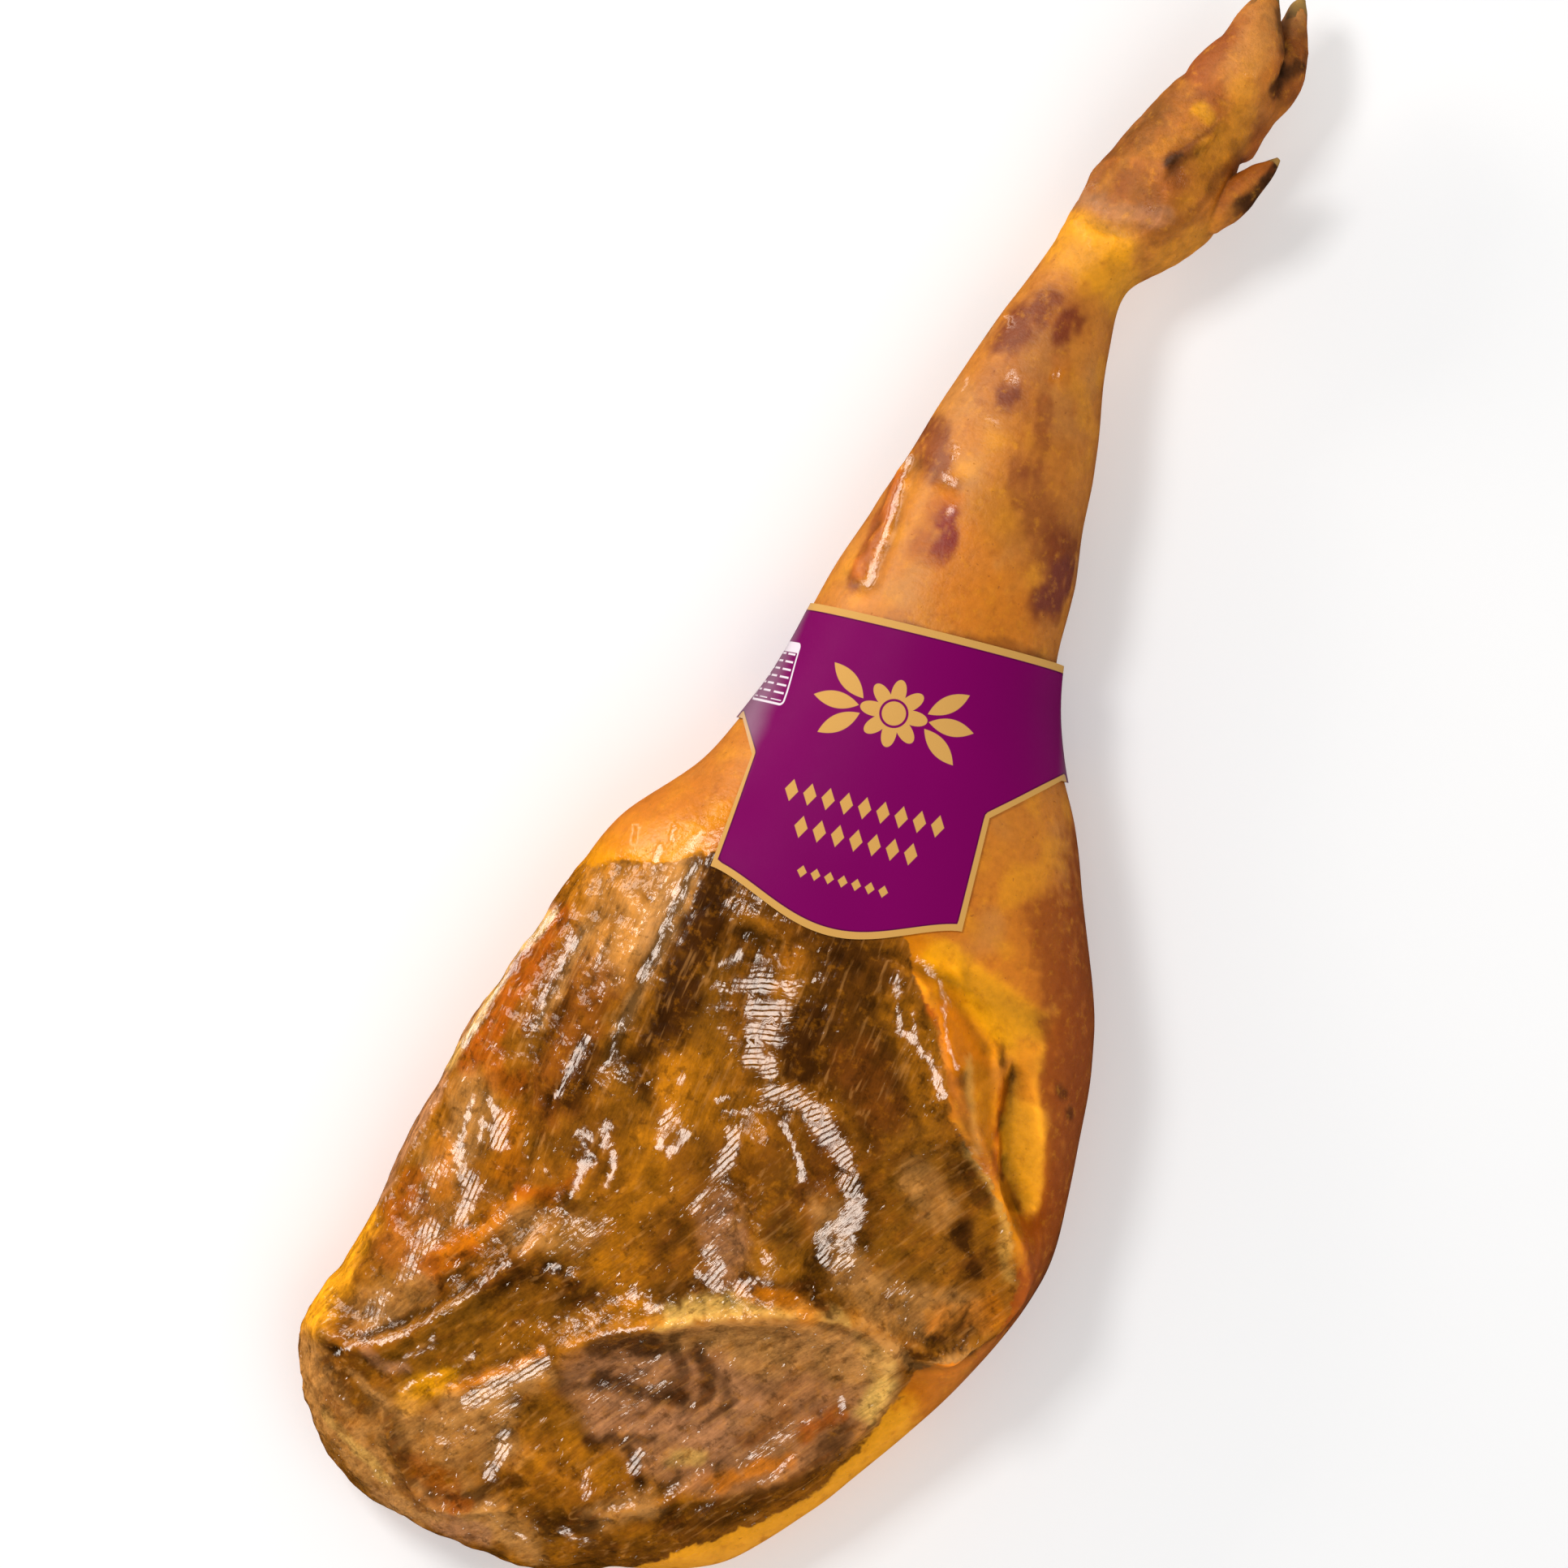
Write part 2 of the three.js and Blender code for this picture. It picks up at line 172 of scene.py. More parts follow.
# Muscles, tendons and folds of the meat side, in millimetres: half width, height, path in x and y
SPINE = [(-33, -78), (-20, -96), (-10, -125), (10, -134), (38, -148), (50, -165), (46, -182)]
OVAL_EDGE = [(-31, -257), (-20, -245), (1, -231), (19, -221), (50, -205), (69, -201), (85, -204)]
FAT_EDGE = [(23, -68), (44, -76), (66, -101), (92, -127), (118, -154), (120, -177), (106, -202)]
FOLDS = [
    (17, 6, SPINE),
    (15, 5, [(-7, -150), (-2, -171), (4, -190), (10, -207)]),
    (10, -5, [(9, -150), (20, -181), (30, -195)]),
    (12, -4.5, [(-48, -78), (-43, -109), (-37, -135), (-31, -165)]),
    (6, 3, [(-61, -64), (-61, -94), (-61, -122), (-62, -143)]),
    (7, -2.2, [(-73, -90), (-75, -130), (-76, -160)]),
    (6, 2.2, [(-90, -98), (-93, -118), (-93, -136), (-91, -156)]),
    (8, 3.5, [(-57, -208), (-76, -241), (-94, -272), (-114, -280)]),
    (8, -4, [(-57, -221), (-76, -254), (-98, -286), (-118, -292)]),
    (9, -5, OVAL_EDGE),
    (8, -3.5, FAT_EDGE),
    (9, 5, [(87, -90), (95, -110), (106, -125), (113, -137)]),
    (9, 3, [(32, -62), (40, -62), (56, -66), (85, -64)]),
    (9, 3, [(56, -305), (80, -283), (90, -258), (99, -234), (101, -214)]),
    (8, 4, [(-39, -288), (-40, -314)]),
    (6, 3, [(-49, 115), (-49, 100), (-47, 81), (-46, 66)]),
]

# Rounded muscles: centre x, y, long half axis, short half axis, turn in degrees, height
BULGES = [
    (28, -258, 72, 36, 31, 7),
    (80, -165, 52, 40, 60, 5),
    (-95, -205, 44, 24, 75, 4),
    (-16, 243, 18, 16, 0, 3),
]

# Sharper creases and ridges than the solid has: half width, height, path
CREASES = [
    (2.6, -2.6, [(-57, -223), (-76, -256), (-98, -288), (-118, -294)]),
    (2.4, 1.6, [(-65, -233), (-74, -249), (-87, -267), (-104, -286), (-113, -296)]),
    (2.8, -2.8, OVAL_EDGE),
    (2.4, -1.8, FAT_EDGE),
    (2.4, -2.2, [(92, -202), (102, -202), (109, -196), (113, -187)]),
    (2.4, 1.4, [(86, -204), (97, -209), (107, -205), (115, -195)]),
    (2.2, 1.0, [(-63, -64), (-63, -100), (-63, -137)]),
    (2.2, 0.8, [(-93, -106), (-94, -124), (-94, -145)]),
    (2.6, -1.6, [(-66, -136), (-69, -150), (-70, -166)]),
    (2.4, 1.0, [(-74, -140), (-74, -156), (-76, -170)]),
    (2.6, -1.4, [(74, -80), (80, -92), (88, -110), (94, -124)]),
    (2.6, 1.6, [(47, -71), (56, -74), (64, -79), (72, -84)]),
    (2.4, 1.6, [(43, -74), (49, -80), (55, -88), (61, -94), (66, -100)]),
    (2.4, 1.5, [(68, -96), (74, -110), (80, -120)]),
    (2.4, -2.4, [(-3, -318), (19, -306), (32, -296), (40, -283)]),
    (2.4, -2.0, [(-85, -312), (-73, -326), (-57, -338), (-44, -336), (-28, -327)]),
    (2.6, -2.2, [(-39, -230), (-47, -233), (-54, -234)]),
    (2.4, -2.0, [(-65, -292), (-52, -278), (-39, -263)]),
    (2.6, -2.8, [(-52, 112), (-50, 100), (-49, 84), (-50, 66)]),
    (2.4, -2.6, [(-4, 262), (0, 269), (7, 280)]),
    (2.6, -0.7, [(-30, 238), (-22, 235), (-10, 236), (2, 241)]),
    (2.4, 0.5, [(-30, 231), (-20, 229), (-6, 230)]),
    (2.6, -1.0, [(5, 236), (12, 248), (18, 264), (20, 276)]),
    (4.4, 1.6, [(-33, 113), (-29, 113)]),
]

# Meat side outline in plan: outside it lie fat and rind
MEAT_OUTLINE = [
    (-140, -96), (-104, -83), (-87, -74), (-67, -64), (-56, -56), (-40, -45), (5, -45), (24, -57),
    (40, -74), (50, -86), (60, -99), (68, -112), (78, -121), (88, -126), (94, -130), (100, -137),
    (108, -142), (114, -150), (119, -158), (122, -168), (124, -176), (121, -187), (117, -197), (108, -203),
    (98, -210), (97, -221), (94, -236), (90, -255), (82, -274), (71, -289), (60, -299), (48, -309),
    (38, -319), (28, -332), (14, -345), (0, -362), (-60, -380), (-160, -340), (-160, -180),
]

# Plots of flesh and fat with outlines of their own: pigment, strength, edge width, height, outline
PLOTS = [
    ("umber", 0.8, 12, 0, [
        (-2, -62), (22, -62), (38, -78), (52, -96), (64, -116), (68, -136), (50, -142), (32, -128),
        (14, -122), (0, -120), (-6, -100),
    ]),
    ("blush", 0.5, 8, 0, [
        (-30, -262), (-18, -248), (4, -233), (40, -214), (70, -205), (88, -208), (95, -220), (93, -236),
        (84, -256), (66, -276), (44, -290), (20, -292), (-6, -284), (-26, -274),
    ]),
    ("cream", 0.9, 6, 0, [(70, -206), (88, -208), (94, -220), (92, -238), (84, -236), (84, -222)]),
]
FAT_PLOTS = [
    ("yellow", 0.95, 7, 1.2, [
        (24, -54), (36, -58), (48, -58), (60, -57), (74, -60), (90, -62), (94, -70), (84, -80), (72, -80),
        (60, -74), (48, -70), (38, -70), (28, -64),
    ]),
    ("orange", 0.95, 3, 1.2, [
        (46, -73), (56, -76), (64, -81), (73, -86), (77, -92), (72, -100), (66, -102), (58, -92),
    ]),
    ("straw", 1.0, 2.5, 3.6, [
        (84, -84), (91, -86), (105, -106), (113, -120), (117, -132), (115, -138), (108, -138), (101, -133),
        (94, -122), (88, -108),
    ]),
]

# Wet patches turned to the key light: half width, how even they are, angle of their ripples or None, path
GLEAMS = [
    (1.3, 1.0, None, [(-61, -63), (-63, -70), (-64, -78), (-63, -88), (-62, -96), (-62, -104), (-63, -113)]),
    (1.5, 1.0, None, [
        (-105, -104), (-108, -116), (-111, -130), (-113.5, -144), (-115.5, -156), (-117, -168),
    ]),
    (1.4, 0.5, None, [(-117, -184), (-118, -200), (-119, -225), (-120, -245)]),
    (1.1, 0.8, None, [(-64, -129), (-64, -134), (-63, -139), (-62, -146), (-62, -152)]),
    (1.3, 1.0, None, [(-93, -110), (-94, -116), (-94, -123)]),
    (0.9, 0.8, None, [(-94, -123), (-95, -130), (-95, -135), (-94, -141)]),
    (1.5, 1.0, 89, [(-73, -143), (-74, -154), (-74, -161), (-74, -169)]),
    (1.4, 0.9, None, [(-77, -63), (-76, -69)]),
    (1.0, 0.8, None, [(-75, -54), (-74, -59)]),
    (1.0, 0.8, None, [(-89, -61), (-88, -65)]),
    (1.4, 0.8, None, [(-65, -52), (-66, -60)]),
    (1.3, 0.7, None, [(-81, -111), (-81, -115)]),
    (1.6, 0.9, None, [(-33, -139), (-32, -144)]),
    (1.8, 0.9, 60, [(-31, -152), (-33, -159)]),
    (6.0, 0.3, None, [(-38, -71), (-33, -77), (-27, -83), (-21, -90)]),
    (2.2, 0.9, None, [(-37, -95), (-34, -92), (-32, -89)]),
    (1.8, 0.9, None, [(-35, -103), (-33, -102)]),
    (2.4, 0.8, 24, [(-34, -112), (-30, -110), (-27, -109)]),
    (3.6, 0.9, 22, [(-27, -99), (-22, -97), (-16, -95)]),
    (2.2, 0.8, 28, [(-11, -91), (-7, -94)]),
    (4.6, 1.0, 26, [(-19, -105), (-13, -104), (-9, -102)]),
    (1.8, 0.9, 20, [(-32, -105), (-28, -102)]),
    (5.0, 1.0, 22, [(-15, -113), (-9, -112)]),
    (2.4, 0.8, 28, [(-26, -118), (-20, -120)]),
    (4.2, 1.0, 25, [(-12, -121), (-8, -125)]),
    (2.4, 1.0, 24, [(-4, -121), (-2, -127)]),
    (3.8, 0.9, 46, [(1, -133), (9, -131), (16, -131), (20, -133)]),
    (5.0, 1.0, 54, [(20, -133), (24, -136), (28, -139)]),
    (4.0, 1.0, 62, [(28, -139), (34, -142), (39, -146)]),
    (4.0, 0.9, 84, [(39, -146), (44, -151)]),
    (1.1, 1.0, None, [(10, -141), (16, -147), (22, -153)]),
    (1.8, 1.0, None, [(22, -153), (26, -158)]),
    (1.2, 0.8, None, [(27, -71), (30, -78), (33, -83), (37, -89)]),
    (1.5, 0.9, None, [(37, -91), (41, -91), (48, -95)]),
    (1.1, 0.8, None, [(39, -81), (42, -88)]),
    (1.3, 0.9, None, [(51, -94), (55, -99)]),
    (1.8, 1.0, None, [(57, -100), (60, -104), (63, -107)]),
    (1.8, 0.8, None, [(33, -62), (40, -65), (44, -68), (50, -74)]),
    (1.2, 0.9, None, [(49, -76), (53, -82), (58, -89), (64, -95)]),
    (1.2, 0.8, None, [(88, -108), (87, -116)]),
    (3.0, 0.5, None, [(81, -119), (87, -125), (93, -127)]),
    (1.4, 0.7, None, [(86, -105), (88, -113)]),
    (1.5, 0.8, None, [(96, -119), (98, -126)]),
    (1.3, 0.9, None, [(-104, -182), (-103, -193), (-102, -202)]),
    (2.2, 1.0, None, [(-101, -203), (-100, -207)]),
    (1.6, 1.0, None, [(-97, -209), (-95, -216)]),
    (1.6, 1.0, None, [(-98, -181), (-93, -185)]),
    (4.0, 1.0, 88, [(-91, -187), (-88, -195)]),
    (1.1, 1.0, None, [(-97, -190), (-95, -198)]),
    (3.4, 0.9, 90, [(-91, -213), (-89, -221), (-89, -228)]),
    (5.0, 0.65, 93, [(-105, -214), (-107, -223), (-109, -231)]),
    (4.0, 0.75, 96, [(-99, -236), (-99, -248), (-100, -258)]),
    (3.6, 0.75, 100, [(-105, -269), (-107, -278)]),
    (2.4, 0.4, None, [(-70, -207), (-73, -214), (-75, -222)]),
    (2.8, 0.4, None, [(-74, -226), (-77, -236)]),
    (1.2, 1.0, None, [(-65, -235), (-68, -241), (-71, -248)]),
    (0.9, 1.0, None, [(-71, -249), (-75, -256), (-80, -264), (-86, -272), (-90, -278)]),
    (1.2, 1.0, None, [(-90, -278), (-95, -283), (-103, -288), (-108, -292), (-113, -299)]),
    (2.0, 1.0, None, [(-54, -188), (-53, -195), (-53, -201)]),
    (1.1, 0.9, None, [(-62, -180), (-60, -177), (-55, -178)]),
    (1.1, 0.9, None, [(-57, -182), (-51, -184)]),
    (1.3, 1.0, None, [(-45, -179), (-43, -185), (-43, -192)]),
    (2.2, 0.8, None, [(-51, -171), (-49, -178)]),
    (1.8, 0.8, None, [(-58, -201), (-57, -206)]),
    (2.2, 0.5, None, [(-44, -208), (-49, -217), (-52, -226)]),
    (1.0, 0.8, None, [(-58, -223), (-61, -232)]),
    (2.4, 0.6, 62, [(-36, -204), (-40, -213), (-42, -219)]),
    (0.8, 1.0, None, [(-51, -231), (-48, -229)]),
    (0.8, 1.0, None, [(-41, -230), (-38, -230)]),
    (1.8, 1.0, None, [(-16, -228), (-14, -226)]),
    (1.8, 0.8, None, [(-80, -275), (-82, -282), (-87, -287)]),
    (1.2, 0.8, None, [(-63, -275), (-68, -283)]),
    (4.6, 0.95, 57, [(-37, -266), (-44, -275), (-52, -285), (-57, -292)]),
    (3.2, 0.8, 57, [(-41, -284), (-45, -294)]),
    (3.0, 0.6, 60, [(-52, -304), (-58, -310), (-62, -313)]),
    (1.6, 0.9, 70, [(-39, -297), (-41, -303)]),
    (2.8, 1.0, 80, [(-37, -305), (-37, -310), (-39, -317)]),
    (0.9, 0.9, None, [(-83, -301), (-80, -295), (-76, -290), (-72, -288)]),
    (1.8, 1.0, None, [(-16, -143), (-13, -141)]),
    (0.9, 0.9, None, [(-13, -147), (-5, -144)]),
    (2.6, 1.0, None, [(-28, -157), (-30, -163), (-30, -169)]),
    (2.4, 1.0, None, [(-22, -160), (-24, -166), (-25, -171)]),
    (3.2, 1.0, 69, [(-6, -154), (-4, -158), (-4, -165), (-4, -171)]),
    (2.6, 0.8, 69, [(-5, -174), (-7, -182), (-7, -187)]),
    (6.0, 0.4, 72, [(2, -176), (3, -186), (7, -196)]),
    (5.0, 0.2, 78, [(9, -176), (14, -184), (18, -192)]),
    (4.0, 0.9, 74, [(5, -199), (10, -204)]),
    (2.0, 1.0, None, [(4, -209), (9, -210), (13, -210)]),
    (3.0, 0.9, 76, [(22, -207), (26, -202), (30, -201)]),
    (2.4, 0.6, None, [(24, -192), (31, -194)]),
    (4.6, 1.0, None, [(43, -153), (48, -158), (50, -163)]),
    (5.4, 1.0, None, [(51, -165), (48, -170)]),
    (3.4, 1.0, None, [(44, -172), (42, -178)]),
    (2.6, 1.0, None, [(45, -180), (51, -177), (53, -173)]),
    (2.6, 0.9, 66, [(45, -183), (51, -186), (56, -181)]),
    (2.2, 0.6, None, [(33, -169), (37, -172)]),
    (1.8, 0.7, None, [(33, -158), (38, -161)]),
    (0.9, 0.9, None, [(-20, -246), (-14, -241), (-6, -236)]),
    (1.0, 0.8, None, [(-8, -229), (-3, -225)]),
    (3.4, 0.7, 59, [(-1, -255), (-5, -262), (-13, -270)]),
    (3.0, 0.65, 59, [(9, -255), (5, -262), (0, -270)]),
    (1.0, 0.8, None, [(4, -245), (0, -252)]),
    (2.4, 0.9, 75, [(12, -285), (13, -292)]),
    (1.8, 0.8, 90, [(-4, -301), (0, -309)]),
    (3.4, 0.7, 62, [(64, -251), (60, -258), (54, -267)]),
    (2.2, 0.6, None, [(72, -240), (67, -247)]),
    (1.6, 0.9, None, [(77, -232), (78, -238)]),
    (1.4, 0.7, None, [(69, -261), (65, -271), (58, -279)]),
    (3.0, 0.7, 84, [(46, -290), (45, -297)]),
    (2.6, 0.8, None, [(-3, -326), (4, -327), (11, -326)]),
    (1.2, 0.8, None, [(9, -314), (13, -314)]),
    (1.0, 0.8, None, [(-34, -331), (-26, -334), (-14, -336)]),
    (0.8, 0.8, None, [(-16, -328), (-9, -331), (-2, -332)]),
    (2.4, 0.5, 66, [(74, -187), (78, -183), (83, -185)]),
    (1.2, 0.7, None, [(82, -193), (87, -196)]),
    (1.0, 1.0, None, [(-50, 118), (-49, 106), (-47, 92), (-46, 78), (-45, 64)]),
    (0.8, 0.8, None, [(-27, 102), (-26, 105)]),
    (0.8, 0.6, None, [(-36, 128), (-33, 127)]),
    (0.6, 0.6, None, [(-28, 142), (-24, 141)]),
    (0.5, 0.6, None, [(-42, 150), (-42, 154)]),
    (0.9, 0.6, None, [(-30, 244), (-27, 246)]),
    (1.2, 0.6, None, [(-24, 238), (-18, 236)]),
    (1.0, 0.6, None, [(-22, 224), (-20, 221)]),
    (0.8, 0.6, None, [(2, 262), (4, 258)]),
    (1.4, 0.7, None, [(-11, 168), (-10, 171)]),
    (1.4, 0.6, None, [(-27, 162), (-24, 160)]),
    (1.0, 0.8, None, [(-37, 183), (-35, 181)]),
    (1.2, 0.7, None, [(-34, 115), (-31, 114)]),
    (0.9, 0.7, None, [(-35, 123), (-34, 125)]),
    (1.2, 0.6, None, [(-28, 228), (-24, 227)]),
    (1.2, 0.6, None, [(-5, 244), (-2, 243)]),
    (1.2, 0.6, None, [(-12, 231), (-9, 230)]),
    (0.8, 0.7, None, [(10, 308), (14, 307)]),
]
# The point overhead that those patches face, halfway between the key light and the camera
GLEAM_AIM = (-484, 124, 1745)
# Surfaces whose normal has less than this share upwards aren't turned
STEEPEST_GLEAM = 0.15
# Distance from ripple to ripple, in millimetres
RIPPLE_PITCH = 2.2

# The card band in millimetres, measured along its own axis, which leans left from the shank's
BAND_LEAN = math.radians(10)
BAND_TOP = 58.8
BAND_FOOT = ((-68, 7.8), (60, 14.3))
TONGUE_NOTCHES = ((-60.8, -5.2), (35, -7))
TONGUE_CORNERS = ((-65.8, -51.2), (34.9, -52.3))
TONGUE_SAG = 14.4
TONGUE_FLOOR = 40
RELIEF_CLEAR = 8
CARD_GAP = 0.5
CARD_THICKNESS = 0.7
CARD_FLARE = 2.1
# How far the cutters of the band reach beyond the shank
BAND_REACH = 110
BAND_FLOOR = -10
BAND_CEILING = 130

# The band's print in millimetres on its axes: the rosette's middle, then reach, lift and turn of its leaves
ROSETTE_PLACE = (-11.0, 23.5)
LEAVES = [(23, 0, 0), (20, 8.5, 38), (20, -8.5, -38)]
LEAF_SIZE = (18, 6.6)
# Rows of lozenges: middle across and along the band, count, pitch, half height
LOZENGE_ROWS = [(-13.2, -15, 9, 7.3, 4.4), (-13.5, -28, 7, 7.3, 4.4), (-14.7, -44.6, 7, 5.4, 2.4)]
# The panel at the band's left side: middle and half sizes round and along the shank, and its corners
PANEL_PLACE = (-74.0, 29.0, 13.0, 13.0)
PANEL_CORNER = 2.4
# Half the width of the print's soft edges
PRINT_BLUR = 0.14
# How far round the shank the gloss of the sides, and the pale sheen painted on them, comes in and goes out
SHEEN_FROM = (63, 78)
SHEEN_TO = (104, 88)


def to_linear(red, green, blue):
    """A colour picked from 0 to 255 on screen, as the linear values that materials take."""
    values = []
    for value in (red, green, blue):
        share = value / 255
        values.append(share / 12.92 if share <= 0.04045 else ((share + 0.055) / 1.055) ** 2.4)
    return tuple(values)


def pigment(name, description, red, green, blue):
    """A colour property with its default picked on screen."""
    return FloatVectorProperty(
        name=name,
        description=description,
        subtype="COLOR",
        size=3,
        min=0.0,
        max=1.0,
        default=to_linear(red, green, blue),
    )


def length(name, description, millimetres):
    """A length property with its default in millimetres."""
    return FloatProperty(
        name=name, description=description, unit="LENGTH", subtype="DISTANCE", default=millimetres * MM
    )


def power(name, description, watts):
    """A light's power property with its default in watts."""
    return FloatProperty(name=name, description=description, unit="POWER", min=0.0, default=watts)


class HamShape(bpy.types.PropertyGroup):
    """Sizes of the ham's fine surface"""

    body_step: length("Body Step", "Distance between rings of points over the body", 1.8)
    shank_step: length("Shank Step", "Distance between rings of points on the shank", 2.6)
    foot_step: length("Foot Step", "Distance between rings of points on the foot", 2.0)
    top_sides: IntProperty(name="Top Sides", description="Points of a ring over the top", default=176)
    under_sides: IntProperty(name="Under Sides", description="Points of a ring underneath", default=50)
    lump_height: length("Lump Height", "Height of the uneven lumps on the meat", 1.4)
    fibre_height: length("Fibre Height", "Height of the muscle fibres", 0.45)
    groove_depth: length("Groove Depth", "Depth of the grooves between muscle strands", 0.6)
    rind_height: length("Rind Height", "Height of the rind's soft dents", 0.9)


class HamColours(bpy.types.PropertyGroup):
    """Pigments of the ham"""

    meat: pigment("Meat", "Dried meat", 150, 87, 12)
    straw: pigment("Straw", "Palest yellow fat of the rims", 255, 168, 24)
    plum: pigment("Plum", "Darkest purple stain of the shank", 122, 54, 38)
    crimson: pigment("Crimson", "Red spot of the shank", 138, 26, 0)
    brown: pigment("Brown", "Dark reddish brown of the dried meat", 118, 60, 10)
    blush: pigment("Blush", "Pinkish tan of thin fat over meat", 196, 134, 88)
    umber: pigment("Umber", "Darkest dried meat", 62, 31, 4)
    olive: pigment("Olive", "Greenish brown meat", 136, 84, 12)
    amber: pigment("Amber", "Translucent golden meat", 192, 116, 10)
    tan: pigment("Tan", "Pale meat and tendons", 200, 138, 70)
    rust: pigment("Rust", "Orange red fat between muscles", 172, 82, 6)
    orange: pigment("Orange", "Orange fat", 214, 118, 4)
    yellow: pigment("Yellow", "Yellow fat", 244, 160, 2)
    cream: pigment("Cream", "Pale fat", 238, 184, 90)
    rind: pigment("Rind", "Deep brown orange rind", 152, 68, 0)
    skin: pigment("Skin", "Orange tan skin of the shank", 206, 124, 34)
    bruise: pigment("Bruise", "Purple brown stains", 128, 54, 20)
    horn: pigment("Horn", "Dark toe and dewclaw tips", 88, 58, 30)


class BandDesign(bpy.types.PropertyGroup):
    """Colours and measures of the card band's print"""

    field: pigment("Field", "Purple of the band", 124, 0, 90)
    gold: pigment("Gold", "Gold border and ornament", 209, 158, 84)
    paper: pigment("Paper", "White panel lines", 235, 225, 232)
    border: length("Border", "Width of the gold border", 2.9)


class StudioSettings(bpy.types.PropertyGroup):
    """The pale studio, its lights and its camera"""

    camera_height: length("Camera Height", "Height of the camera over the floor", 2116)
    focal_length: FloatProperty(
        name="Focal Length", description="Lens in millimetres", unit="CAMERA", default=120.0
    )
    camera_turn: FloatProperty(
        name="Camera Turn",
        description="How far the picture's top is turned from the foot",
        subtype="ANGLE",
        default=math.radians(24.0),
    )
    floor_colour: pigment("Floor", "Pale floor", 246, 246, 246)
    key_power: power("Key Power", "Main soft light in watts", 9.0)
    edge_power: power("Edge Power", "Low light along the left rim in watts", 12.0)
    fill_power: power("Fill Power", "Soft light from the other side in watts", 7.5)
    sky_strength: FloatProperty(name="Sky Strength", description="Even light from all round", default=0.5)


def smoothstep(low, high, value):
    """0 below low, 1 above high, and a smooth rise between."""
    share = np.clip((value - low) / (high - low), 0, 1)
    return share * share * (3 - 2 * share)


class Run:
    """A smooth run through rows of numbers, spaced by how far each row is from the one before."""

    def __init__(self, rows):
        self.rows = np.array(rows, float)
        steps = np.linalg.norm(np.diff(self.rows, axis=0), axis=1)
        self.knots = np.concatenate([[0.0], np.cumsum(steps)])
        self.length = self.knots[-1]
        place = np.arange(len(rows))
        before = np.maximum(place - 1, 0)
        after = np.minimum(place + 1, len(rows) - 1)
        reach = self.knots[after] - self.knots[before]
        self.slopes = (self.rows[after] - self.rows[before]) / reach[:, None]

    def at(self, distance):
        """The row at a distance, or at each of an array of distances."""
        distance = np.asarray(distance, float)
        i = np.clip(np.searchsorted(self.knots, distance, side="right") - 1, 0, len(self.rows) - 2)
        span = self.knots[i + 1] - self.knots[i]
        share = np.clip((distance - self.knots[i]) / span, 0, 1)[..., None]
        ease = share * share * (3 - 2 * share)
        plain = self.rows[i] * (1 - ease) + self.rows[i + 1] * ease
        bend = (1 - share) * self.slopes[i] - share * self.slopes[i + 1]
        return plain + span[..., None] * share * (1 - share) * bend


HAM_RUN = Run(SECTIONS)
RUN_TABLE = np.linspace(0, HAM_RUN.length, 2000)
RUN_TABLE_Y = HAM_RUN.at(RUN_TABLE)[:, 0]


def section_at(distance):
    """At a distance: y, middle, half width, edge height, rise over the edge, drop under it, fullness."""
    y, left, right, low, high = np.moveaxis(HAM_RUN.at(distance), -1, 0)
    edge = low + EDGE_HEIGHT * (high - low)
    towards_shank = smoothstep(*SHANK_START, y)
    fullness = MEAT_FULLNESS + (SHANK_FULLNESS - MEAT_FULLNESS) * towards_shank
    return y, (left + right) / 2, (right - left) / 2, edge, high - edge, edge - low, fullness


def ham_point(distance, angle, stand_off=0.0):
    """Points of the ham's plain form, at distances along the run and angles round the section."""
    y, middle, half_width, edge, rise, drop, top_fullness = section_at(distance)
    across, up = np.cos(angle), np.sin(angle)
    fullness = np.where(up > 0, top_fullness, RIND_FULLNESS)
    swell = (np.abs(across) ** fullness + np.abs(up) ** fullness) ** (-1 / fullness)
    x = middle + (half_width + stand_off) * swell * across
    z = edge + (np.where(up > 0, rise, drop) + stand_off) * swell * up
    return np.stack(np.broadcast_arrays(x, y, z), axis=-1)


def distance_at_y(y):
    """The distance along the run where the section stands at y."""
    return np.interp(y, RUN_TABLE_Y, RUN_TABLE)


def angle_of(places):
    """The angle round the section of places near the ham's surface."""
    _, middle, half_width, edge, rise, drop, _ = section_at(distance_at_y(places[:, 1]))
    lift = places[:, 2] - edge
    up = lift / np.where(lift > 0, rise, drop)
    return np.arctan2(up, (places[:, 0] - middle) / half_width)


def smooth_path(points, steps=5):
    """A smooth open curve through points, as many short straight steps."""
    points = np.array(points, float)
    if len(points) == 2:
        return points
    ends = [2 * points[0] - points[1], *points, 2 * points[-1] - points[-2]]
    curve = []
    for a, b, c, d in zip(ends[:-3], ends[1:-2], ends[2:-1], ends[3:]):
        for share in np.arange(steps) / steps:
            bend = 2 * a - 5 * b + 4 * c - d + share * (3 * (b - c) + d - a)
            curve.append(b + 0.5 * share * (c - a + share * bend))
    return np.array([*curve, points[-1]])


def line_distance(x, y, points):
    """Distance of each place from a line of straight steps between points."""
    best = np.full(len(x), np.inf)
    for (ax, ay), (bx, by) in zip(points[:-1], points[1:]):
        dx, dy = bx - ax, by - ay
        share = np.clip(((x - ax) * dx + (y - ay) * dy) / max(dx * dx + dy * dy, 1e-9), 0, 1)
        best = np.minimum(best, np.hypot(x - ax - share * dx, y - ay - share * dy))
    return best


def near_path(path, x, y, reach):
    """The places within reach of a smooth path, and how far away from it each of them is."""
    curve = smooth_path(path)
    low, high = curve.min(axis=0) - reach, curve.max(axis=0) + reach
    close = np.nonzero((x > low[0]) & (x < high[0]) & (y > low[1]) & (y < high[1]))[0]
    return close, line_distance(x[close], y[close], curve)


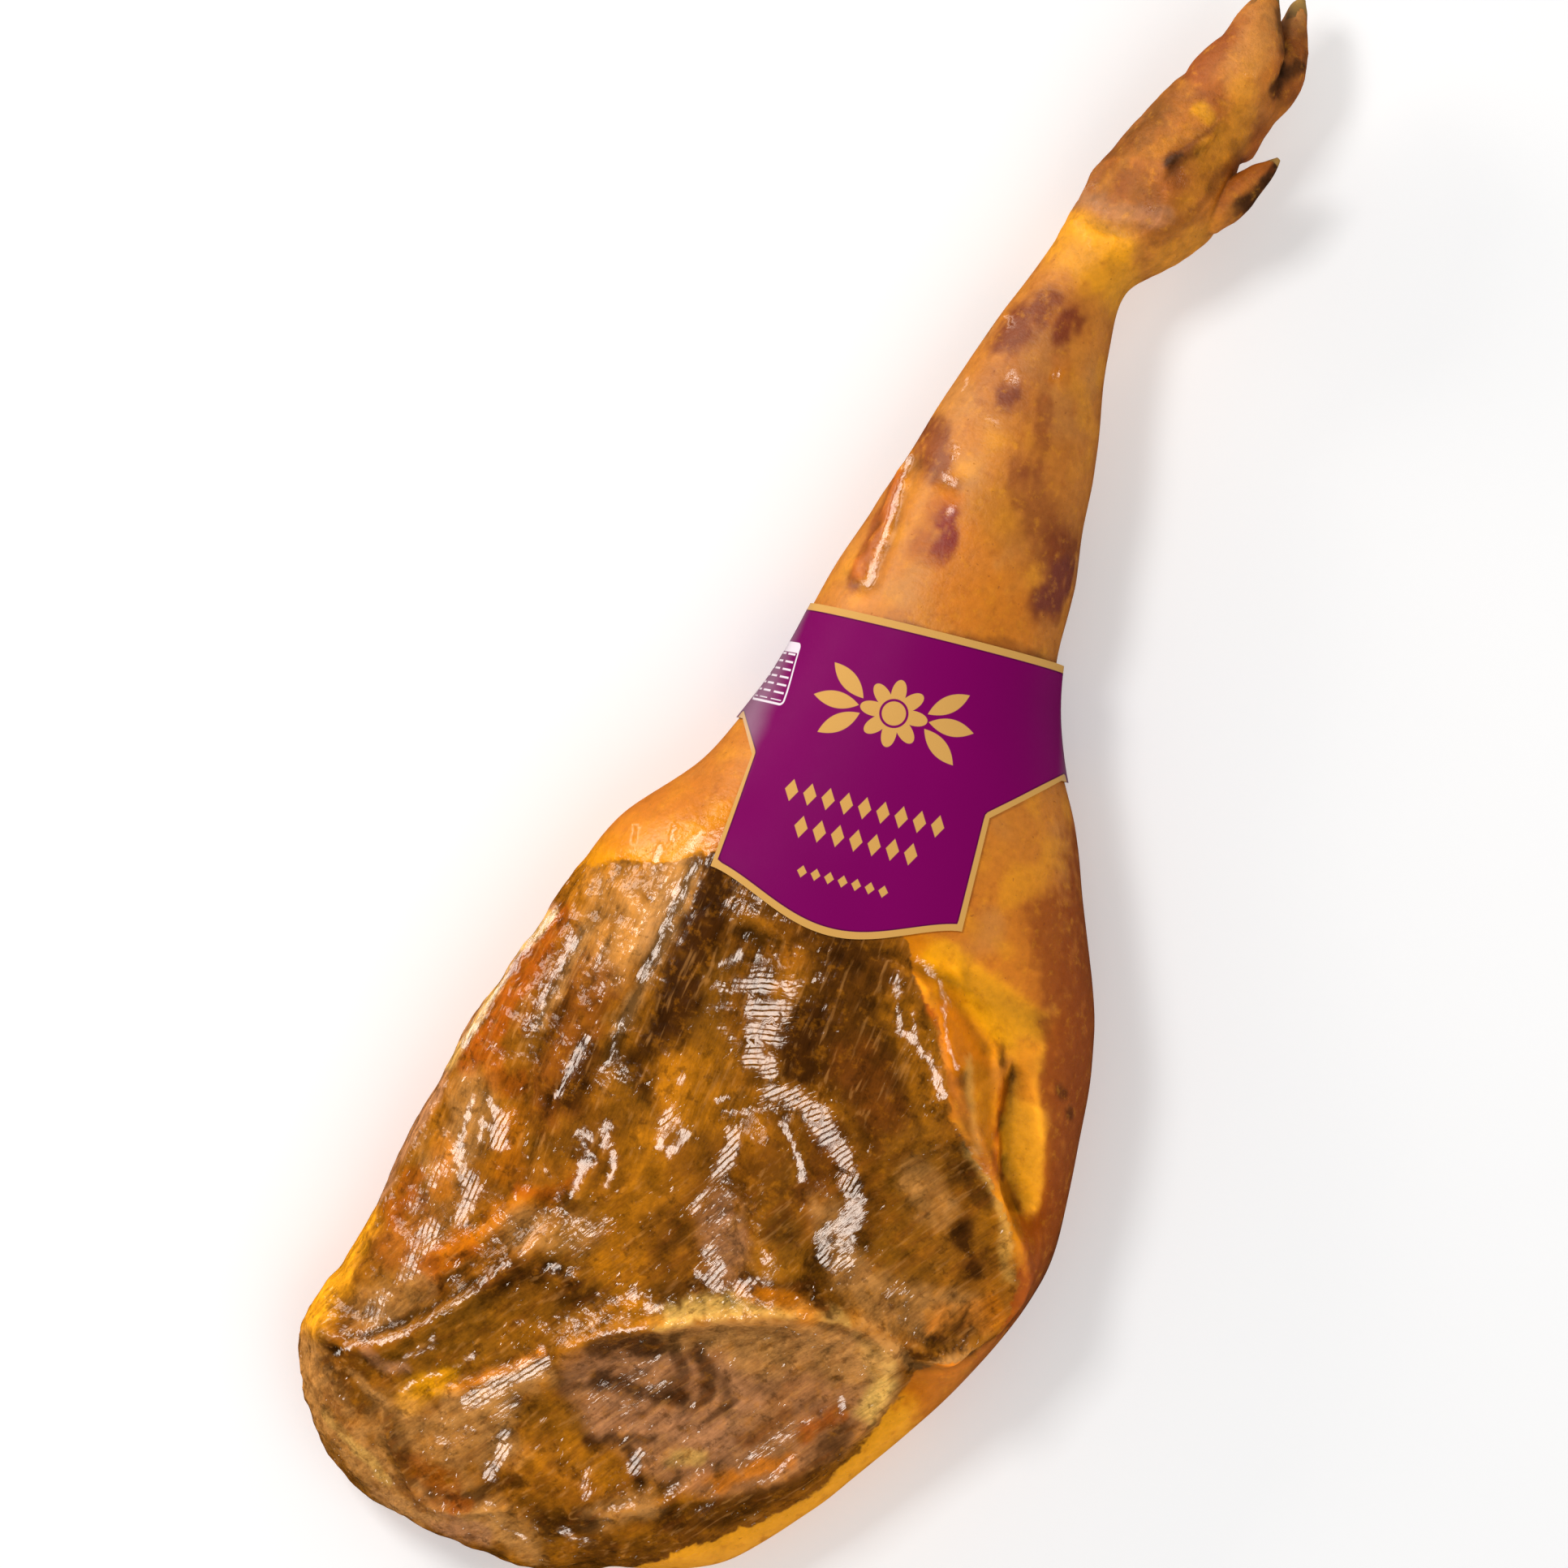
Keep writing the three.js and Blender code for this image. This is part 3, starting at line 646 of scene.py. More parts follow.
def stroke(path, half_width, x, y):
    """1 on a smooth path, falling to 0 on both sides of it."""
    close, distance = near_path(path, x, y, 3 * half_width)
    amount = np.zeros(len(x))
    amount[close] = np.exp(-((distance / half_width) ** 2))
    return amount


def inside_outline(outline, x, y):
    """Distance inside a closed outline, below 0 outside it."""
    corners = np.array([*outline, outline[0]], float)
    inside = np.zeros(len(x), bool)
    for (ax, ay), (bx, by) in zip(corners[:-1], corners[1:]):
        if by != ay:
            crosses = (ay > y) != (by > y)
            inside ^= crosses & (x < ax + (y - ay) * (bx - ax) / (by - ay))
    distance = line_distance(x, y, corners)
    return np.where(inside, distance, -distance)


def noise(places, size, seed):
    """Smooth random values from about -1 to 1, in lumps about size across."""
    cell = places / size + 31.7 * seed
    corner = np.floor(cell).astype(np.int64)
    part = cell - corner
    ease = part**3 * (part * (part * 6 - 15) + 10)
    total = np.zeros(len(places))
    for step in itertools.product((0, 1), repeat=3):
        at = corner + np.array(step)
        key = (at[:, 0] * 73856093) ^ (at[:, 1] * 19349663) ^ (at[:, 2] * 83492791)
        key = ((key ^ (key >> 13)) * 1274126177) & 0xFFFFFFFF
        key = key ^ (key >> 15)
        slopes = np.stack([(key & 255), (key >> 8) & 255, (key >> 16) & 255], axis=1) / 127.5 - 1
        value = ((part - np.array(step)) * slopes).sum(axis=1)
        weight = np.prod(np.where(np.array(step) == 1, ease, 1 - ease), axis=1)
        total += weight * value
    return 1.5 * total


def layered(places, layers):
    """A sum of noises, each with its share, its size and its seed."""
    return sum(share * noise(places, size, seed) for share, size, seed in layers)


def turned(places, degrees, across, along):
    """Places measured across and along fibres that run at an angle from +X, in shares of the given sizes."""
    angle = math.radians(degrees)
    run = places[:, 0] * math.cos(angle) + places[:, 1] * math.sin(angle)
    side = places[:, 1] * math.cos(angle) - places[:, 0] * math.sin(angle)
    return np.stack([run / along, side / across, places[:, 2] / across], axis=1)


def to_band(x, y):
    """Places in plan, measured across and along the band's leaning axis."""
    cosine, sine = math.cos(BAND_LEAN), math.sin(BAND_LEAN)
    return x * cosine + y * sine, y * cosine - x * sine


def from_band(s, w):
    """The plan place of a point measured across and along the band's leaning axis."""
    cosine, sine = math.cos(BAND_LEAN), math.sin(BAND_LEAN)
    return s * cosine - w * sine, w * cosine + s * sine


def band_foot(s):
    """The band's lower edge on the underside, straight from side to side."""
    (left_s, left_w), (right_s, right_w) = BAND_FOOT
    return np.interp(s, [left_s, right_s], [left_w, right_w])


def clear_of_card(x, y):
    """1 well clear of the card, 0 under it."""
    s, w = to_band(x, y)
    over_tongue = np.max(
        [
            TONGUE_CORNERS[0][0] - s,
            s - TONGUE_CORNERS[1][0],
            TONGUE_CORNERS[0][1] - TONGUE_SAG - w,
            w,
        ],
        axis=0,
    )
    notch_s, notch_w = TONGUE_NOTCHES[1]
    foot_line = np.minimum(band_foot(s), notch_w + np.abs(s - notch_s))
    over_band = np.maximum(foot_line - w, w - BAND_TOP)
    return smoothstep(0, RELIEF_CLEAR, np.minimum(over_tongue, over_band))


def main_relief(x, y):
    """Height of the folds and bulges that the solid has too."""
    height = np.zeros(len(x))
    for half_width, rise, path in FOLDS:
        height += rise * stroke(path, half_width, x, y)
    for centre_x, centre_y, long, short, turn, rise in BULGES:
        angle = math.radians(turn)
        along = (x - centre_x) * math.cos(angle) + (y - centre_y) * math.sin(angle)
        aside = (y - centre_y) * math.cos(angle) - (x - centre_x) * math.sin(angle)
        inside = np.maximum(0, 1 - (along / long) ** 2 - (aside / short) ** 2)
        height += rise * inside * (2 - inside)
    return height


def meat_depth(places, angle):
    """Distance inside the meat side, below 0 on fat and rind."""
    x, y = places[:, 0], places[:, 1]
    in_plan = inside_outline(MEAT_OUTLINE, x + layered(places, RAGGED_RIM), y + 2.5 * noise(places, 14, 3))
    over_edge = 60 * (np.sin(angle) + 0.14)
    return np.minimum(in_plan, over_edge)


def meat_share(depth):
    """1 on the meat side, 0 on fat and rind, from the distance inside the meat."""
    return smoothstep(-3, 3, depth)


def slant_of(places):
    """0 where the fibres run up the leg, 1 where they run slanted, towards the butt."""
    return smoothstep(-140, -185, places[:, 1] - 0.6 * places[:, 0])


def fibred(places, slant, across, along, seed):
    """Noise drawn out along the meat's fibres."""
    straight = noise(turned(places, STRAIGHT_FIBRES, across, along), 1, seed)
    slanted = noise(turned(places, SLANTED_FIBRES, across, along), 1, seed + 1)
    return straight * (1 - slant) + slanted * slant


def plot_height(places, plots):
    """Height of the plots that stand proud of the rest."""
    height = np.zeros(len(places))
    x = places[:, 0] + noise(places, 6, 25)
    for _, _, _, rise, outline in plots:
        depth = inside_outline(outline, x, places[:, 1])
        height += rise * (1 - np.exp(-np.maximum(depth + 1, 0) / 3))
    return height


def fine_relief(places, angle, meat, shape):
    """Height of the creases, lumps, fibres and grooves that only the fine surface has."""
    x, y = places[:, 0] + 1.8 * noise(places, 9, 4), places[:, 1]
    top = smoothstep(*CREASE_SIDES, np.sin(angle))
    height = top * plot_height(places, FAT_PLOTS)
    for half_width, rise, path in CREASES:
        height += top * rise * stroke(path, half_width, x, y)
    slant = slant_of(places)
    fibres = 0.6 * fibred(places, slant, 5, 26, 8) + 0.4 * fibred(places, slant, 2.8, 14, 10)
    strands = fibred(places, slant, 10, 44, 12)
    grooves = np.exp(-((strands / 0.1) ** 2)) * smoothstep(-0.2, 0.3, noise(places, 30, 14))
    height += meat * shape.lump_height / MM * layered(places, LUMPS)
    height += meat * shape.fibre_height / MM * fibres
    height -= meat * shape.groove_depth / MM * grooves
    height += (1 - meat) * shape.rind_height / MM * layered(places, RIND_DENTS)
    foot = smoothstep(FOOT_START, FOOT_START + 25, y)
    return height + foot * layered(places, FOOT_KNOBS)


def ring_distances(shape):
    """Where the ham's rings stand: close on body and foot, wider on the plain shank."""
    coarser = 1.0
    distances = [0.0]
    while distances[-1] < HAM_RUN.length:
        y = HAM_RUN.at(distances[-1])[0]
        step = shape.shank_step
        if y < PLAIN_START:
            step = shape.body_step
        elif y > FOOT_START:
            step = shape.foot_step
        distances.append(distances[-1] + coarser * step / MM)
    distances[-1] = HAM_RUN.length
    return np.array(distances)


def ring_angles(top_sides, under_sides, crowding=0.3):
    """The angles of one ring, from the right edge over the crown and back underneath."""
    over = math.pi * np.arange(top_sides) / top_sides
    under = math.pi + math.pi * np.arange(under_sides) / under_sides
    return np.concatenate([over + crowding / 2 * np.sin(2 * over), under])


def ham_rings(shape):
    """Rings of points over the ham with all its relief, kept inside the solid's box."""
    coarser = 1
    distances = ring_distances(shape)[:, None]
    angles = ring_angles(shape.top_sides // coarser, shape.under_sides // coarser)[None, :]
    plain = ham_point(distances, angles)
    tiny = 0.01
    along = ham_point(distances + tiny, angles) - ham_point(distances - tiny, angles)
    turning = ham_point(distances, angles + tiny) - ham_point(distances, angles - tiny)
    outward = np.cross(turning, along)
    outward /= np.maximum(np.linalg.norm(outward, axis=-1), 1e-12)[..., None]
    flat = plain.reshape(-1, 3)
    angle = np.broadcast_to(angles, plain.shape[:2]).ravel()
    meat = meat_share(meat_depth(flat, angle))
    height = smoothstep(*MAIN_SIDES, np.sin(angle)) * main_relief(flat[:, 0], flat[:, 1])
    height += fine_relief(flat, angle, meat, shape)
    height *= clear_of_card(flat[:, 0], flat[:, 1])
    points = flat + outward.reshape(-1, 3) * height[:, None]
    points[:, 2] = np.maximum(points[:, 2], 0)
    return np.clip(points, CAD_LOW, CAD_HIGH).reshape(plain.shape)


def mesh_from(name, points, faces):
    """A mesh from points in millimetres."""
    mesh = bpy.data.meshes.new(name)
    mesh.from_pydata((np.asarray(points) * MM).tolist(), [], faces)
    mesh.validate()
    mesh.update()
    return mesh


def skin_over(name, rings):
    """A closed mesh over rings of equally many points, with a fan on each end."""
    count, sides = rings.shape[:2]
    points = rings.reshape(-1, 3)
    index = np.arange(count * sides).reshape(count, sides)
    ahead = np.roll(index, -1, axis=1)
    quads = np.stack([index[:-1], index[1:], ahead[1:], ahead[:-1]], axis=-1).reshape(-1, 4)
    faces = quads.tolist()
    points = np.concatenate([points, rings[0].mean(axis=0)[None], rings[-1].mean(axis=0)[None]])
    first, last = len(points) - 2, len(points) - 1
    faces += [[first, a, b] for a, b in zip(index[0].tolist(), ahead[0].tolist())]
    faces += [[last, b, a] for a, b in zip(index[-1].tolist(), ahead[-1].tolist())]
    return mesh_from(name, points, faces)


def tapered_body(name, stops, sides=44, rings=42):
    """A tapering rounded body round a path of stops, each x, y, z, half width and half height."""
    run = Run(stops)
    distance = run.length * np.linspace(0, 1, rings)
    rows = run.at(distance)
    heading = run.at(distance + 0.5)[:, :3] - run.at(distance - 0.5)[:, :3]
    heading /= np.linalg.norm(heading, axis=1)[:, None]
    side = np.cross(heading, [0, 0, 1])
    side /= np.linalg.norm(side, axis=1)[:, None]
    rise = np.cross(side, heading)
    angle = 2 * math.pi * np.arange(sides) / sides
    across = rows[:, 3, None] * np.cos(angle)
    up = rows[:, 4, None] * np.sin(angle)
    points = rows[:, None, :3] + side[:, None] * across[..., None] + rise[:, None] * up[..., None]
    flat = points.reshape(-1, 3)
    knobs = HOOF_KNOBS * noise(flat, 7, 17) + HOOF_WRINKLES * noise(turned(flat, 70, 1.6, 14), 1, 18)
    outward = side[:, None] * np.cos(angle)[None, :, None] + rise[:, None] * np.sin(angle)[None, :, None]
    ease = np.minimum(1, rows[:, 3] / 4)[:, None, None]
    points = points + outward * ease * knobs.reshape(rings, sides, 1)
    return skin_over(name, points)


def new_object(name, data):
    """An object for a mesh, a light or a camera, in the scene."""
    made = bpy.data.objects.new(name, data)
    bpy.context.scene.collection.objects.link(made)
    return made


def combined(piece, other, operation):
    """The piece's mesh joined with, or cut to, another object, which is then removed."""
    modifier = piece.modifiers.new("combine", "BOOLEAN")
    modifier.operation = operation
    modifier.solver = "MANIFOLD"
    modifier.object = other
    evaluated = piece.evaluated_get(bpy.context.evaluated_depsgraph_get())
    mesh = bpy.data.meshes.new_from_object(evaluated)
    piece.modifiers.clear()
    old = piece.data
    piece.data = mesh
    mesh.name = old.name
    bpy.data.meshes.remove(old)
    spent = other.data
    bpy.data.objects.remove(other)
    bpy.data.meshes.remove(spent)
    if len(mesh.vertices) == 0:
        raise RuntimeError(f"{piece.name}: nothing was left after {operation}")


def soften_joins(mesh, rounds=8):
    """Rounds the inward corners where toes and dewclaws grow out of the foot."""
    work = bmesh.new()
    work.from_mesh(mesh)
    chosen = set()
    for edge in work.edges:
        near_body = min(v.co.y for v in edge.verts)
        if near_body > HOOF_START * MM and edge.calc_face_angle_signed(0) < SHARPEST_CORNER:
            chosen.update(edge.verts)
    for _ in range(2):
        chosen |= {edge.other_vert(v) for v in chosen for edge in v.link_edges}
    for _ in range(rounds):
        bmesh.ops.smooth_vert(
            work, verts=list(chosen), factor=0.5, use_axis_x=True, use_axis_y=True, use_axis_z=True
        )
    work.to_mesh(mesh)
    work.free()


def places_of(mesh):
    """The mesh's points in millimetres."""
    flat = np.empty(3 * len(mesh.vertices), np.float32)
    mesh.vertices.foreach_get("co", flat)
    return flat.reshape(-1, 3).astype(float) / MM


def normals_of(mesh):
    """The directions that the mesh's points face."""
    flat = np.empty(3 * len(mesh.vertices), np.float32)
    mesh.vertices.foreach_get("normal", flat)
    return flat.reshape(-1, 3).astype(float)


def hollowness(mesh, rounds=6):
    """How far each point lies below the mean of the points round it, in millimetres, 0 on plain ground."""
    places = places_of(mesh)
    edges = np.empty(2 * len(mesh.edges), np.int32)
    mesh.edges.foreach_get("vertices", edges)
    first, second = edges.reshape(-1, 2).T
    count = np.bincount(edges, minlength=len(places))[:, None]
    smooth = places
    for _ in range(rounds):
        total = np.zeros_like(places)
        np.add.at(total, first, smooth[second])
        np.add.at(total, second, smooth[first])
        smooth = total / count
    return ((smooth - places) * normals_of(mesh)).sum(axis=1)


def keep_values(mesh, layers):
    """Keeps one number for each point of the mesh under each name, where materials read them."""
    for name, values in layers.items():
        layer = mesh.attributes.new(name, "FLOAT", "POINT")
        layer.data.foreach_set("value", np.asarray(values, np.float32))


def keep_directions(mesh, layers):
    """Keeps one direction for each point of the mesh under each name."""
    for name, directions in layers.items():
        layer = mesh.attributes.new(name, "FLOAT_VECTOR", "POINT")
        layer.data.foreach_set("vector", np.asarray(directions, np.float32).ravel())


def keep_colours(mesh, layers):
    """Keeps one colour for each point of the mesh under each name."""
    for name, colours in layers.items():
        layer = mesh.attributes.new(name, "FLOAT_COLOR", "POINT")
        solid = np.column_stack([colours, np.ones(len(colours))])
        layer.data.foreach_set("color", np.asarray(solid, np.float32).ravel())


# Stains and fields of the meat, with dark lines along some of its creases, painted shade in the valley beside
# the tendon and a painted highlight on the left rim, painted in this order: pigment, half width, strength,
# path
MEAT_STROKES = [
    ("amber", 14, 0.45, [(-94, -76), (-91, -95), (-90, -116)]),
    ("amber", 8, 0.7, [(-100, -82), (-92, -74), (-84, -70)]),
    ("tan", 9, 0.5, [(-72, -64), (-73, -90), (-76, -116)]),
    ("tan", 11, 0.45, [(-88, -84), (-85, -104), (-83, -118)]),
    ("blush", 4, 0.6, [(-65, -74), (-67, -100)]),
    ("brown", 13, 0.8, [(-82, -122), (-78, -145), (-76, -170)]),
    ("umber", 4.5, 0.9, [(-70, -146), (-70, -157), (-71, -168)]),
    ("umber", 3, 0.5, [(-88, -132), (-86, -150)]),
    # Darker meat and painted shade in the valley beside the tendon
    ("umber", 11, 0.7, [(-50, -62), (-50, -90), (-47, -115), (-44, -136)]),
    ("umber", 7, 0.7, [(-34, -66), (-12, -70), (10, -70)]),
    ("olive", 12, 0.6, [(-40, -100), (-36, -125)]),
    # Darker meat and painted shade in the valley beside the tendon, the strongest stroke
    ("umber", 9.5, 1.0, [(-50, -62), (-49, -90), (-46, -115), (-44, -136), (-43, -150)]),
    ("tan", 6, 0.75, [(-66, -68), (-67, -85), (-68, -100)]),
    ("amber", 10, 0.6, [(-26, -130), (-28, -150)]),
    ("tan", 2.8, 0.9, [(-60, -66), (-61, -100), (-63, -137)]),
    ("tan", 3, 0.8, [(-91, -106), (-93, -124), (-92, -145)]),
    ("rust", 5, 0.9, [(-103, -104), (-106, -130), (-109, -150), (-111, -172)]),
    ("brown", 5, 0.5, [(-98, -108), (-99, -130), (-99, -150)]),
    ("rust", 4, 0.6, [(-104, -166), (-96, -174), (-88, -170)]),
    # Blush and cream along the left rim: a painted highlight where the rim catches the low light from the
    # left
    ("blush", 3.2, 0.8, [(-108, -102), (-113, -124), (-117, -152), (-120, -180), (-122, -210), (-124, -240)]),
    ("cream", 2.2, 0.7, [(-107, -104), (-112, -124), (-116, -152), (-119, -178)]),
    ("tan", 9, 0.6, [(-106, -180), (-102, -196), (-104, -212)]),
    ("orange", 7, 0.5, [(-86, -184), (-80, -204)]),
    ("umber", 8, 0.9, [(2, -102), (5, -112), (10, -121)]),
    ("brown", 10, 0.55, [(26, -108), (40, -118), (54, -132)]),
    ("umber", 10, 0.35, [(-30, -88), (-14, -106), (-4, -126)]),
    ("olive", 10, 0.6, [(-50, -160), (-36, -170), (-30, -190)]),
    ("olive", 10, 0.6, [(26, -176), (32, -190), (26, -200)]),
    ("umber", 10, 0.65, [(6, -146), (12, -162), (20, -180)]),
    ("brown", 8, 0.6, [(26, -140), (34, -152), (32, -168)]),
    ("umber", 11, 0.35, [(38, -142), (52, -160), (58, -176)]),
    ("blush", 8, 0.6, [(2, -184), (10, -194), (14, -204)]),
    ("amber", 12, 0.7, [(-34, -140), (-20, -146), (-4, -148)]),
    ("amber", 12, 0.55, [(-34, -176), (-32, -200), (-26, -220)]),
    ("amber", 9, 0.6, [(56, -188), (66, -194)]),
    ("olive", 15, 0.6, [(64, -134), (74, -156), (80, -172)]),
    ("tan", 10, 0.7, [(60, -186), (84, -190), (106, -184)]),
    ("orange", 6, 0.6, [(98, -190), (108, -186), (116, -176)]),
    ("tan", 7, 0.6, [(38, -166), (48, -176), (60, -184)]),
    ("amber", 6, 0.4, [(94, -124), (104, -136), (110, -146)]),
    ("tan", 8, 0.5, [(68, -140), (78, -148)]),
    ("umber", 4.5, 0.9, [(90, -152), (96, -158), (102, -166)]),
    ("cream", 3, 0.35, [(80, -120), (92, -128), (106, -146), (116, -162)]),
    ("umber", 4, 0.6, [(84, -130), (94, -140)]),
    ("tan", 3, 0.8, [(86, -203), (97, -208), (107, -204), (114, -195)]),
    ("umber", 2.2, 0.9, [(92, -202), (102, -202), (109, -196), (113, -187)]),
    ("umber", 1.8, 0.8, [(98, -197), (105, -192), (108, -184)]),
    ("rust", 2.4, 0.9, [(42, -73), (49, -80), (55, -88), (61, -94), (66, -100)]),
    ("amber", 8, 0.5, [(32, -84), (44, -94), (60, -114)]),
    ("orange", 4.5, 0.6, [(-58, -204), (-70, -212), (-77, -226), (-85, -243), (-93, -251)]),
    ("rust", 3, 0.7, [(-54, -196), (-64, -206), (-72, -208)]),
    ("tan", 9, 0.6, [(-66, -222), (-56, -218), (-46, -214)]),
    ("olive", 12, 0.5, [(-46, -204), (-44, -222), (-34, -240)]),
    ("umber", 3.2, 0.95, [(-55, -236), (-47, -231), (-38, -233)]),
    ("umber", 3.5, 0.8, [(-40, -240), (-30, -236)]),
    ("umber", 5, 0.85, [(-62, -238), (-72, -254), (-84, -270)]),
    ("brown", 5, 0.5, [(-97, -292), (-86, -300)]),
    ("tan", 12, 0.2, [(-98, -225), (-104, -250)]),
    ("rust", 9, 0.4, [(-108, -232), (-110, -250)]),
    ("rust", 6.5, 0.75, [(-95, -251), (-90, -246), (-84, -237)]),
    ("orange", 4, 0.6, [(-90, -244), (-84, -234)]),
    ("brown", 2.2, 0.7, [(-98, -255), (-91, -258), (-83, -256)]),
    ("rust", 5, 0.5, [(-112, -222), (-116, -240)]),
    ("tan", 9, 0.6, [(-96, -262), (-106, -276)]),
    ("straw", 9, 1.0, [(-127, -246), (-125, -268), (-128, -290)]),
    ("olive", 11, 0.7, [(-72, -262), (-92, -290), (-70, -276)]),
    ("yellow", 5.5, 0.9, [(-81, -304), (-77, -297), (-69, -289)]),
    ("orange", 4, 0.6, [(-65, -292), (-52, -278), (-40, -264)]),
    ("tan", 8, 0.8, [(-62, -298), (-50, -288), (-38, -272)]),
    ("tan", 6, 0.6, [(-44, -290), (-40, -304)]),
    ("olive", 8, 0.6, [(-34, -286), (-15, -286)]),
    ("amber", 6, 0.8, [(-14, -294), (4, -298)]),
    ("umber", 2.5, 0.9, [(-9, -287), (2, -283), (10, -286), (18, -293)]),
    ("blush", 12, 0.5, [(-14, -258), (4, -254), (24, -246), (38, -248)]),
    ("tan", 7, 0.8, [(4, -236), (22, -227), (40, -224)]),
    ("umber", 5, 0.85, [(-22, -252), (-10, -246), (2, -242)]),
    ("umber", 4, 0.8, [(-14, -264), (4, -262), (16, -258)]),
    ("umber", 4, 0.8, [(18, -238), (25, -248), (23, -262)]),
    ("umber", 3, 0.7, [(6, -236), (14, -246), (12, -256)]),
    ("blush", 9, 0.6, [(-8, -276), (14, -272), (38, -262)]),
    ("umber", 3, 0.6, [(30, -244), (36, -254)]),
    ("umber", 2, 0.5, [(-22, -270), (-8, -263), (2, -251)]),
    ("umber", 1.8, 0.5, [(6, -270), (17, -255)]),
    ("umber", 1.8, 0.7, [(28, -264), (38, -249)]),
    ("umber", 2.2, 0.6, [(-2, -283), (14, -279)]),
    ("brown", 3, 0.6, [(48, -264), (59, -247)]),
    ("brown", 3, 0.5, [(40, -234), (56, -226), (74, -222)]),
    ("tan", 14, 0.75, [(34, -226), (58, -216), (76, -214)]),
    ("cream", 3, 0.6, [(24, -282), (36, -276)]),
    ("orange", 3.5, 0.8, [(45, -284), (54, -275), (65, -262)]),
    ("rust", 3.5, 0.8, [(67, -250), (78, -238)]),
    ("umber", 6, 0.75, [(34, -304), (52, -292), (66, -280), (77, -264), (83, -244)]),
    ("umber", 2.4, 0.7, [(-3, -318), (19, -306), (32, -296)]),
    ("tan", 6, 0.6, [(6, -316), (24, -300)]),
    ("tan", 11, 0.6, [(-84, -312), (-60, -312), (-40, -306)]),
    ("tan", 9, 0.5, [(-44, -330), (-18, -334)]),
    ("umber", 5, 0.8, [(-20, -322), (-10, -326), (6, -318)]),
    ("umber", 9, 0.55, [(10, -334), (22, -326), (32, -318)]),
    ("amber", 12, 0.25, [(-30, -330), (-20, -300)]),
    ("tan", 7, 0.8, [(-54, -338), (-40, -335), (-28, -337)]),
    ("tan", 3.5, 0.7, [(-38, -339), (-24, -337), (-8, -341)]),
    ("blush", 4.5, 0.7, [(-76, -344), (-52, -344), (-30, -341)]),
    ("umber", 4, 0.8, [(-62, -336), (-50, -335), (-39, -328), (-28, -316)]),
    ("rust", 7, 0.5, [(-66, -326), (-52, -330)]),
    ("rust", 3, 0.7, [(-64, -337), (-52, -338), (-42, -334)]),
    ("tan", 11, 0.8, [(-124, -306), (-106, -322), (-84, -334), (-60, -344)]),
    ("umber", 3, 0.7, [(-85, -312), (-78, -322), (-66, -332)]),
    ("umber", 4, 0.6, [(-116, -304), (-104, -311), (-92, -313)]),
    ("cream", 2.5, 0.5, [(-106, -322), (-92, -330), (-76, -337)]),
    ("tan", 1.8, 0.6, [(-106, -303), (-92, -308), (-78, -311)]),
    ("blush", 2.4, 0.7, [(-104, -292), (-94, -294), (-86, -290)]),
    ("brown", 4, 0.6, [(-110, -316), (-98, -324)]),
    ("brown", 3, 0.6, [(-72, -334), (-58, -340)]),
    ("umber", 3, 0.7, [(-122, -292), (-112, -296), (-100, -294)]),
    ("cream", 5, 0.9, [(-4, -230), (10, -220), (26, -212)]),
    ("cream", 3, 0.6, [(26, -212), (44, -205), (62, -202)]),
    ("orange", 4.5, 0.7, [(26, -207), (38, -202), (50, -204)]),
    ("umber", 2, 0.8, [(22, -204), (34, -198), (48, -199), (56, -203)]),
    ("amber", 5, 0.8, [(-30, -250), (-18, -238), (-6, -230)]),
    ("umber", 6, 0.5, [(45, -195), (58, -199)]),
    ("amber", 6, 0.8, [(-28, -222), (-12, -231)]),
    ("orange", 5, 0.5, [(-108, -205), (-100, -222)]),
]
